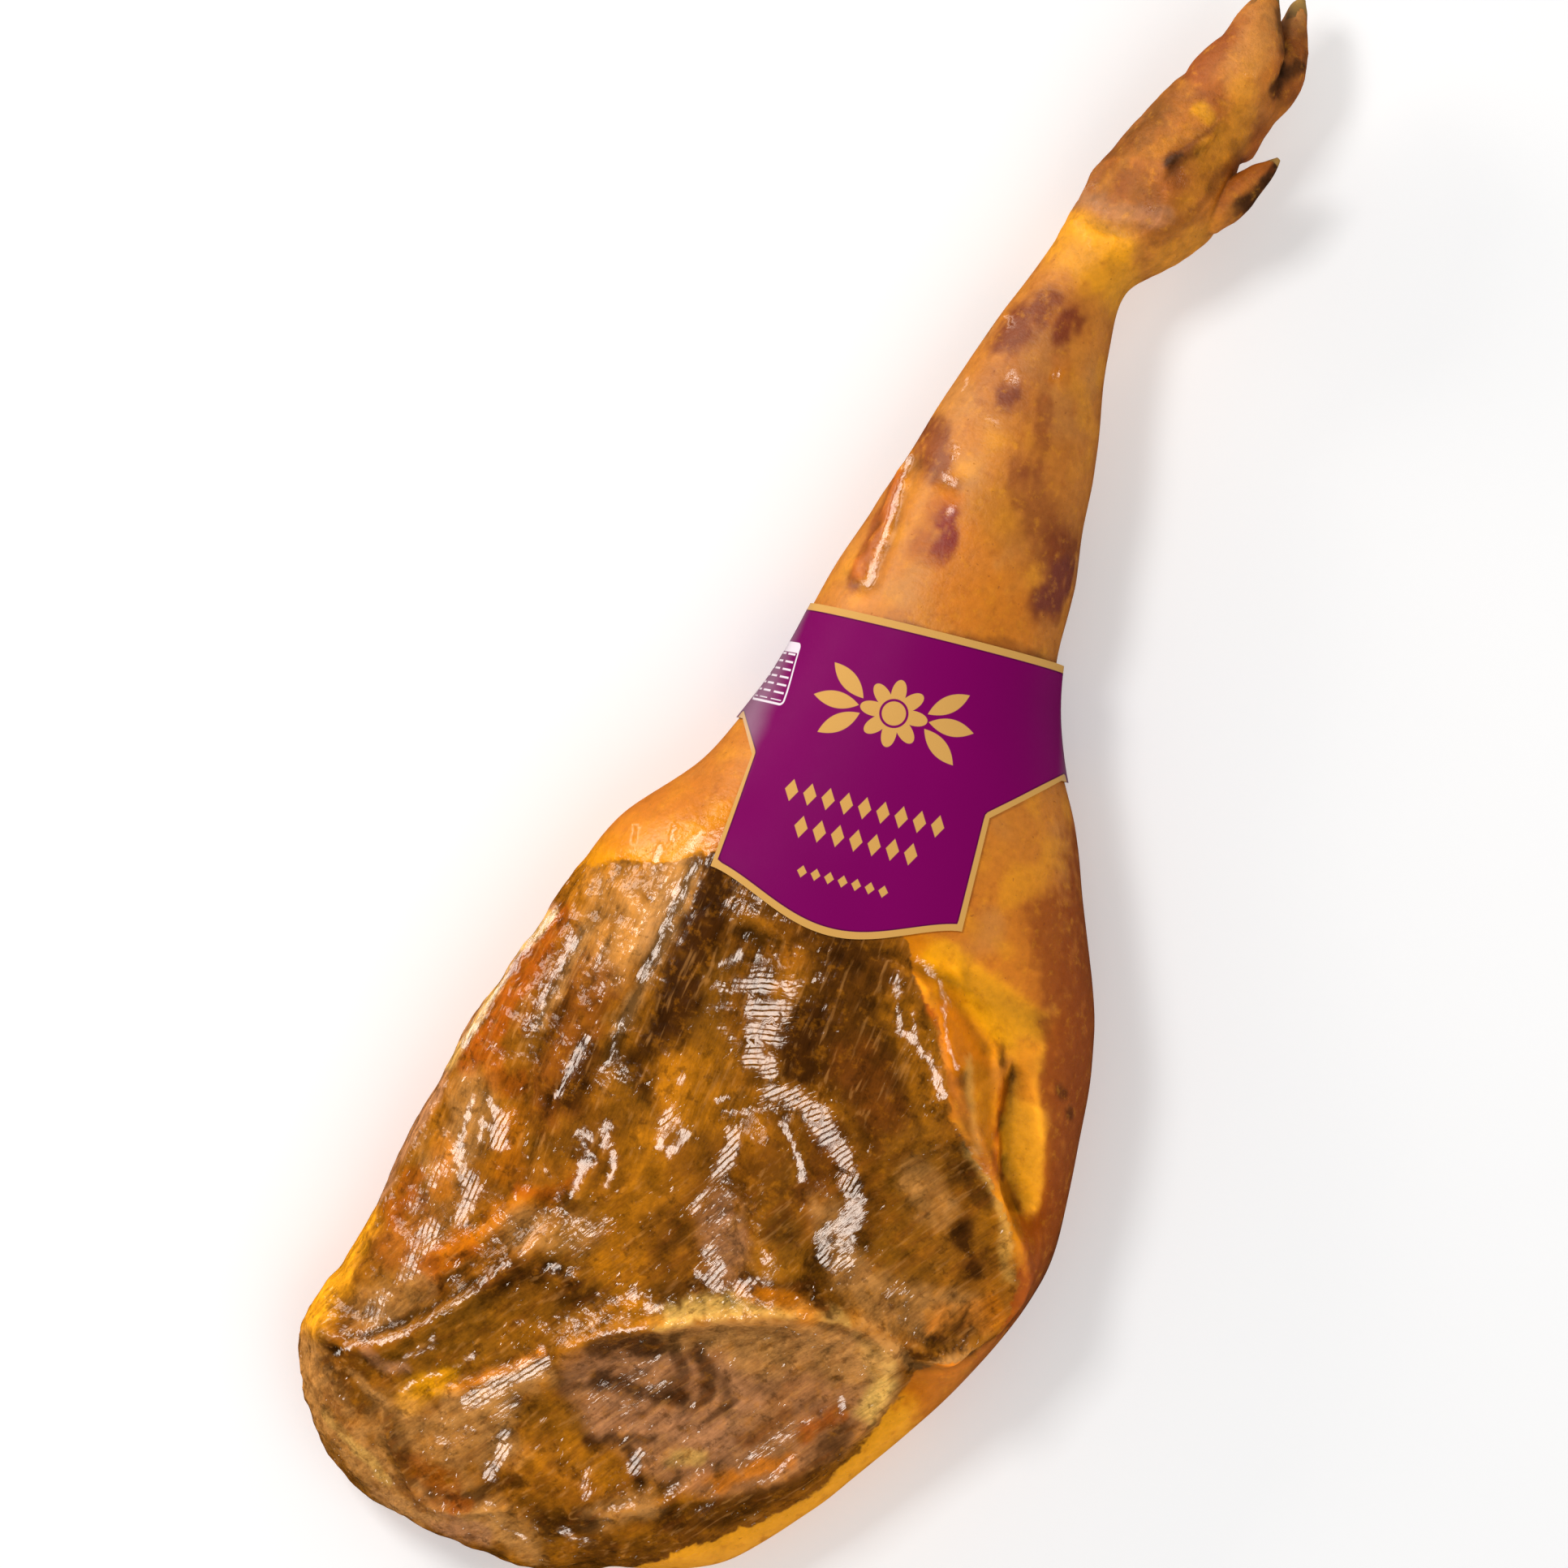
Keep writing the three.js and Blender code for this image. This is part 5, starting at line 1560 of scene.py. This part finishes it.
class BandBoard(Board):
    """The band's print, drawn on its own axes: s across, w along, and around the shank."""

    def __init__(self, design):
        super().__init__("printed_card")
        self.design = design
        self.spot = self.place()
        x, y, self.z = (self.node("ShaderNodeSeparateXYZ", None, {0: self.spot}, output=i) for i in range(3))
        self.s = x * math.cos(BAND_LEAN) + y * math.sin(BAND_LEAN)
        self.w = y * math.cos(BAND_LEAN) - x * math.sin(BAND_LEAN)
        self.around = self.kept("around")

    def drawn(self, inside):
        """1 inside a shape and 0 outside it, from the distance inside it."""
        return self.rise(inside, -PRINT_BLUR, PRINT_BLUR)

    def leaf(self, centre_s, centre_w, degrees):
        """Distance inside a pointed leaf."""
        long, wide = LEAF_SIZE
        angle = math.radians(degrees)
        ds, dw = self.s - centre_s, self.w - centre_w
        along = ds * math.cos(angle) + dw * math.sin(angle)
        aside = (dw * math.cos(angle) - ds * math.sin(angle)).reckon("ABSOLUTE")
        return wide / 2 * (1 - (along * (2 / long)) ** 2) - aside

    def rosette(self):
        """Distance inside eight petals, which a thin ring parts from their heart."""
        ds, dw = self.s - ROSETTE_PLACE[0], self.w - ROSETTE_PLACE[1]
        radius = (ds * ds + dw * dw) ** 0.5
        waves = (dw.reckon("ARCTAN2", ds) * 4).reckon("COSINE").reckon("ABSOLUTE")
        petals = 7.4 + 6.0 * waves - radius
        return petals.reckon("MINIMUM", (radius - 5.2).reckon("ABSOLUTE") - 0.5)

    def lozenges(self, centre_s, centre_w, count, pitch, half_high):
        """Distance inside a row of lozenges."""
        half_long = pitch * count / 2
        ds = (self.s - centre_s + half_long).reckon("FLOORED_MODULO", pitch) - pitch / 2
        dw = (self.w - centre_w).reckon("ABSOLUTE")
        diamond = (1 - ds.reckon("ABSOLUTE") / (0.36 * pitch) - dw / half_high) * (0.3 * pitch)
        ends = (half_long - (self.s - centre_s).reckon("ABSOLUTE")).reckon("MINIMUM", half_high - dw)
        return diamond.reckon("MINIMUM", ends)

    def ornament(self):
        """1 on the rosette, its leaves and the rows of lozenges, on the upper side alone."""
        inside = self.rosette()
        for side, (reach, lift, degrees) in itertools.product((-1, 1), LEAVES):
            leaf = self.leaf(ROSETTE_PLACE[0] + side * reach, ROSETTE_PLACE[1] + lift, side * degrees)
            inside = inside.reckon("MAXIMUM", leaf)
        for row in LOZENGE_ROWS:
            inside = inside.reckon("MAXIMUM", self.lozenges(*row))
        return self.drawn(inside) * self.rise(self.z, TONGUE_FLOOR - 2, TONGUE_FLOOR)

    def white_panel(self):
        """1 on the frame, the header and the broken rules of the panel at the left side."""
        panel_s, panel_w, half_long, half_high = PANEL_PLACE
        da = (self.around - panel_s).reckon("ABSOLUTE")
        dh = (self.w - panel_w).reckon("ABSOLUTE")
        out_a = (da - (half_long - PANEL_CORNER)).reckon("MAXIMUM", 0)
        out_h = (dh - (half_high - PANEL_CORNER)).reckon("MAXIMUM", 0)
        inside = PANEL_CORNER - (out_a * out_a + out_h * out_h) ** 0.5
        frame_line = 0.45 - (inside - 0.45).reckon("ABSOLUTE")
        header = inside.reckon("MINIMUM", self.w - (panel_w + half_high - 4.2))
        rules = (self.w - panel_w).reckon("FLOORED_MODULO", 3.2) - 1.6
        rules = (0.4 - rules.reckon("ABSOLUTE")).reckon("MINIMUM", inside - 1.8)
        rules = rules.reckon("MINIMUM", self.around.reckon("FLOORED_MODULO", 9.0) - 2.6)
        return self.drawn(frame_line.reckon("MAXIMUM", header).reckon("MAXIMUM", rules))

    def colour(self, sheen):
        """Purple with a gold border and a dark line inside it, the ornament, the panel and a painted pale
        sheen on the sides.
        """
        field, border = np.array(self.design.field), self.design.border / MM
        to_edge = self.kept("to_edge")
        clouds = 0.25 + 0.8 * self.noise(self.spot, 40, 1.0)
        paint = self.mix(clouds, (*field, 1), (*(0.8 * field), 1))
        paint = self.dyed(paint, 0.6 * self.rise(to_edge, border + 0.75, border + 0.45), 0.3 * field)
        gold = self.rise(to_edge, border + PRINT_BLUR, border - PRINT_BLUR)
        paint = self.dyed(paint, gold.reckon("MAXIMUM", self.ornament()), self.design.gold)
        paint = self.dyed(paint, 0.9 * self.white_panel(), self.design.paper)
        # A painted pale sheen on the sides of the band
        return self.dyed(paint, 0.16 * sheen, self.design.paper)


def band_material(design):
    """Glossy card printed purple with a gold border, a rosette between leaves and rows of lozenges."""
    board = BandBoard(design)
    beside = (board.around + 8.0 * board.noise(board.spot, 24)).reckon("ABSOLUTE")
    sheen = board.rise(beside, *SHEEN_FROM) * board.rise(beside, *SHEEN_TO)
    height = 0.03 * board.noise(board.spot, 0.8) + 0.25 * board.noise(board.spot, 26.0, 1.0)
    return board.finish(
        base_color=board.colour(sheen),
        roughness=0.46 + 0.12 * board.noise(board.spot, 6.0, 3.0),
        normal=board.bump(height),
        specular_ior_level=0.04,
        coat_weight=sheen,
        coat_roughness=0.5,
    )


def around_band(places):
    """Distance round the shank from the tongue's middle line, over the outside of the plain form."""
    rows = np.linspace(-90, 90, 31)
    angles = np.linspace(-math.pi, math.pi, 721)
    rings = ham_point(distance_at_y(rows)[:, None], angles[None, :])
    steps = np.linalg.norm(np.diff(rings, axis=1)[..., [0, 2]], axis=2)
    travelled = np.concatenate([np.zeros((len(rows), 1)), np.cumsum(steps, axis=1)], axis=1)
    angle = angle_of(places)
    row_place = np.clip((places[:, 1] - rows[0]) / (rows[1] - rows[0]), 0, len(rows) - 1.001)
    column_place = np.clip((angle + math.pi) / (angles[1] - angles[0]), 0, len(angles) - 1.001)
    row, column = row_place.astype(int), column_place.astype(int)
    down, over = row_place - row, column_place - column
    crown = np.array([np.interp(math.pi / 2, angles, line) for line in travelled])
    travelled = crown[:, None] - travelled
    upper = travelled[row, column] * (1 - over) + travelled[row, column + 1] * over
    lower = travelled[row + 1, column] * (1 - over) + travelled[row + 1, column + 1] * over
    return upper * (1 - down) + lower * down


def band_distance(w, angle, stand_off):
    """The distance along the run where the plain form meets heights w on the band's axis."""
    low = np.zeros(np.broadcast(w, angle).shape)
    high = np.full(low.shape, HAM_RUN.length)
    for _ in range(24):
        middle = (low + high) / 2
        point = ham_point(middle, angle, stand_off)
        short = to_band(point[..., 0], point[..., 1])[1] < w
        low = np.where(short, middle, low)
        high = np.where(short, high, middle)
    return (low + high) / 2


def card_stand_off(w, angle):
    """How far the card stands off the ham: most at its top right corner."""
    towards_right = np.maximum(0, np.cos(angle))
    towards_top = smoothstep(BAND_FOOT[1][1] - BAND_TOP / 2, BAND_TOP, w)
    return CARD_GAP + CARD_FLARE * towards_right**3 * towards_top


def card_sleeve(rows=76, top_sides=132, under_sides=84):
    """A sleeve of card round the shank, longer than the band, which is then cut out of it."""
    spare = 6
    w = np.linspace(TONGUE_CORNERS[0][1] - TONGUE_SAG - spare, BAND_TOP + spare, rows)[:, None]
    angles = ring_angles(top_sides, under_sides)[None, :]
    shells = []
    for thickness in (CARD_THICKNESS, 0):
        stand_off = card_stand_off(w, angles) + thickness
        shells.append(ham_point(band_distance(w, angles, stand_off), angles, stand_off))
    loop = np.concatenate([shells[0], shells[1][::-1]])
    count, sides = loop.shape[:2]
    index = np.arange(count * sides).reshape(count, sides)
    onward, ahead = np.roll(index, -1, axis=0), np.roll(index, -1, axis=1)
    both = np.roll(onward, -1, axis=1)
    faces = np.stack([index, onward, both, ahead], axis=-1).reshape(-1, 4)
    return mesh_from("card_sleeve", loop.reshape(-1, 3), faces.tolist())


def plan_prism(name, outline, floor, ceiling):
    """A prism over an outline on the band's axes."""
    corners = [from_band(s, w) for s, w in outline]
    count = len(corners)
    points = [(x, y, z) for z in (floor, ceiling) for x, y in corners]
    sides = [(i, (i + 1) % count, count + (i + 1) % count, count + i) for i in range(count)]
    work = bmesh.new()
    verts = [work.verts.new(Vector(point) * MM) for point in points]
    for side in sides:
        work.faces.new([verts[i] for i in side])
    for cap in (verts[:count], verts[count:]):
        work.faces.new(cap)
    bmesh.ops.recalc_face_normals(work, faces=work.faces)
    bmesh.ops.triangulate(work, faces=work.faces)
    mesh = bpy.data.meshes.new(name)
    work.to_mesh(mesh)
    work.free()
    return new_object(name, mesh)


def tongue_edge(steps=48, roundness=1.5):
    """The tongue's lower edge, a shallow bow between its two corners."""
    share = np.linspace(0, 1, steps + 1)
    s = np.interp(share, [0, 1], [corner[0] for corner in TONGUE_CORNERS])
    w = np.interp(share, [0, 1], [corner[1] for corner in TONGUE_CORNERS])
    w = w - TONGUE_SAG * np.maximum(0, np.sin(math.pi * share)) ** roundness
    return list(zip(s, w))


def card_front():
    """The lower edge of the card's upper side in short steps, on the band's axes."""
    left, right = BAND_FOOT
    corners = [left, TONGUE_NOTCHES[0], *tongue_edge(), TONGUE_NOTCHES[1], right]
    line = []
    for start, end in zip(corners[:-1], corners[1:]):
        count = max(2, int(math.dist(start, end) / 1.5))
        line += [np.array(start) + (np.array(end) - start) * share for share in np.arange(count) / count]
    return np.array([*line, right])


def to_card_edge(places):
    """Distance over the card from each place to its nearest edge."""
    s, w = to_band(places[:, 0], places[:, 1])
    line = card_front()
    plan = np.array([from_band(*corner) for corner in line])
    _, middle, half_width, edge, rise, _, fullness = section_at(distance_at_y(plan[:, 1]))
    share = np.clip(np.abs((plan[:, 0] - middle) / half_width), 0, 1)
    z = edge + rise * (1 - share**fullness) ** (1 / fullness)
    line_around = around_band(np.column_stack([plan, z]))
    to_front = line_distance(around_band(places), w, np.column_stack([line_around, line[:, 1]]))
    beneath = np.sin(angle_of(places)) < 0
    return np.minimum(np.abs(BAND_TOP - w), np.where(beneath, np.abs(w - band_foot(s)), to_front))


def band_cutter():
    """A prism over the band all round, joined with one over its tongue on the upper side."""
    left, right = BAND_FOOT
    loop = [
        (-BAND_REACH, BAND_TOP), (-BAND_REACH, left[1]), left, right, (BAND_REACH, right[1]),
        (BAND_REACH, BAND_TOP),
    ]
    inner = 10
    tongue = [
        left, TONGUE_NOTCHES[0], *tongue_edge(), TONGUE_NOTCHES[1], right,
        (right[0] - inner, BAND_TOP - inner), (left[0] + inner, BAND_TOP - inner),
    ]
    cutter = plan_prism("band_cutter", loop, BAND_FLOOR, BAND_CEILING)
    combined(cutter, plan_prism("tongue_cutter", tongue, TONGUE_FLOOR, BAND_CEILING), "UNION")
    return cutter


def keep_ham_looks(mesh, colours):
    """Keeps what the ham's material needs to know of each point."""
    places = places_of(mesh)
    angle = angle_of(places)
    depth = meat_depth(places, angle)
    hoof = hoof_shares(places)
    leans, gleaming = gleam_looks(places, normals_of(mesh))
    keep_directions(mesh, leans)
    keep_colours(mesh, {
        "meat_paint": meat_colour(places, colours),
        "rind_paint": rind_colour(places, angle, colours),
        "horn_paint": blended(colours.horn, colours.cream, 0.5 * smoothstep(0.8, 1.0, hoof)),
    })
    keep_values(mesh, {
        **gleaming,
        "meat_depth": depth,
        "slant": slant_of(places),
        "wet": np.maximum(wetness(places, meat_share(depth)), smoothstep(0, 0.5, gleaming["calm"])),
        "foot": smoothstep(FOOT_START, FOOT_START + 30, places[:, 1]),
        "horn": smoothstep(0.6, 1.05, hoof),
        "hollow": hollowness(mesh),
    })


class HAM_OT_build_ham(bpy.types.Operator):
    """Builds the ham with its meat side, fat, rind and foot"""

    bl_idname = "ham.build_ham"
    bl_label = "Build Ham"

    def execute(self, context):
        shape, colours = context.scene.ham_shape, context.scene.ham_colours
        piece = new_object("cured_shoulder_ham", skin_over("cured_shoulder_ham", ham_rings(shape)))
        for name, stops in HOOVES.items():
            combined(piece, new_object(name, tapered_body(name, stops)), "UNION")
        soften_joins(piece.data)
        keep_ham_looks(piece.data, colours)
        piece.data.shade_smooth()
        piece.data.materials.clear()
        piece.data.materials.append(ham_material(colours))
        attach(piece, "root")
        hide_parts("ham")
        return {"FINISHED"}


class HAM_OT_build_card_band(bpy.types.Operator):
    """Builds the printed card band with its tongue over the meat side"""

    bl_idname = "ham.build_card_band"
    bl_label = "Build Card Band"

    def execute(self, context):
        piece = new_object("printed_card_band", card_sleeve())
        combined(piece, band_cutter(), "INTERSECT")
        places = places_of(piece.data)
        keep_values(piece.data, {"around": around_band(places), "to_edge": to_card_edge(places)})
        piece.data.shade_smooth()
        piece.data.set_sharp_from_angle(angle=math.radians(40))
        piece.data.materials.clear()
        piece.data.materials.append(band_material(context.scene.band_design))
        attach(piece, "root")
        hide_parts("card_band")
        return {"FINISHED"}


# The place on the floor under the picture's middle, and the place that the lights face, in metres
PICTURE_MIDDLE = (-42.8 * MM, -21.2 * MM)
HAM_MIDDLE = (0, -0.1, 0.05)
# Square soft lights: side, and place from the ham's middle, in metres
LIGHTS = {
    "key_light": (0.37, (-0.84, 0.34, 1.36)),
    "edge_light": (0.7, (-1.6, 0.5, 0.5)),
    "fill_light": (1.6, (0.9, -0.4, 1.5)),
}
EDGE_LIGHT_COLOUR = (1.0, 0.92, 0.84)


class HAM_OT_build_studio(bpy.types.Operator):
    """Builds the pale floor, the soft lights and the camera over the ham"""

    bl_idname = "ham.build_studio"
    bl_label = "Build Studio"

    def execute(self, context):
        settings = context.scene.studio_settings
        self.lay_floor(settings)
        self.light("key_light", settings.key_power)
        self.light("edge_light", settings.edge_power).data.color = EDGE_LIGHT_COLOUR
        self.light("fill_light", settings.fill_power).visible_glossy = False
        world = bpy.data.worlds.new("pale_studio")
        world.use_nodes = True
        background = world.node_tree.nodes["Background"]
        background.inputs["Color"].default_value = (1, 1, 1, 1)
        background.inputs["Strength"].default_value = settings.sky_strength
        world.cycles_visibility.glossy = False
        context.scene.world = world
        context.scene.view_settings.view_transform = "Standard"
        self.set_camera(context, settings)
        return {"FINISHED"}

    def lay_floor(self, settings):
        """A pale floor, very slightly uneven in tone, that glows a little."""
        half = 6.0
        corners = [(-half, -half, 0), (half, -half, 0), (half, half, 0), (-half, half, 0)]
        mesh = bpy.data.meshes.new("floor")
        mesh.from_pydata(corners, [], [(0, 1, 2, 3)])
        floor = new_object("floor", mesh)
        floor.visible_glossy = False
        board = Board("pale_floor")
        dust = board.noise(board.place(), 700, 2.0)
        darker = tuple(0.96 * value for value in settings.floor_colour)
        colour = board.mix(0.5 + dust, (*settings.floor_colour, 1), (*darker, 1))
        glow = (1.0, 1.0, 1.0, 1.0)
        mesh.materials.append(
            board.finish(base_color=colour, roughness=0.9, emission_color=glow, emission_strength=0.14)
        )

    def light(self, name, watts):
        """A square soft light that looks at the ham's middle."""
        side, place = LIGHTS[name]
        lamp = bpy.data.lights.new(name, "AREA")
        lamp.energy = watts
        lamp.size = side
        holder = new_object(name, lamp)
        holder.location = Vector(HAM_MIDDLE) + Vector(place)
        holder.rotation_euler = (-Vector(place)).to_track_quat("-Z", "Y").to_euler()
        return holder

    def set_camera(self, context, settings):
        """A camera straight over the place that the picture's middle shows."""
        lens = bpy.data.cameras.new("camera")
        lens.lens = settings.focal_length
        camera = new_object("camera", lens)
        camera.location = (*PICTURE_MIDDLE, settings.camera_height)
        camera.rotation_euler = (0, 0, settings.camera_turn)
        context.scene.camera = camera


class HAM_PT_panel(bpy.types.Panel):
    """Lists the steps that build the ham"""

    bl_idname = "HAM_PT_panel"
    bl_label = "Cured Shoulder Ham"
    bl_space_type = "VIEW_3D"
    bl_region_type = "UI"
    bl_category = "Ham"

    def draw(self, context):
        for operator, settings in SIDEBAR_ROWS:
            self.layout.operator(operator.bl_idname)
            group = getattr(context.scene, settings)
            for name in group.bl_rna.properties.keys():
                if name not in ("rna_type", "name"):
                    self.layout.prop(group, name)


SETTINGS = {
    "ham_shape": HamShape,
    "ham_colours": HamColours,
    "band_design": BandDesign,
    "studio_settings": StudioSettings,
}
SIDEBAR_ROWS = (
    (HAM_OT_build_ham, "ham_shape"),
    (HAM_OT_build_card_band, "band_design"),
    (HAM_OT_build_studio, "studio_settings"),
)
CLASSES = (*SETTINGS.values(), HAM_OT_build_ham, HAM_OT_build_card_band, HAM_OT_build_studio, HAM_PT_panel)


def register():
    for each in CLASSES:
        bpy.utils.register_class(each)
    for name, group in SETTINGS.items():
        setattr(bpy.types.Scene, name, PointerProperty(type=group))


def unregister():
    for name in SETTINGS:
        delattr(bpy.types.Scene, name)
    for each in reversed(CLASSES):
        bpy.utils.unregister_class(each)


def main():
    register()
    bpy.ops.ham.build_ham()
    bpy.ops.ham.build_card_band()
    bpy.ops.ham.build_studio()


if __name__ == "__main__":
    main()
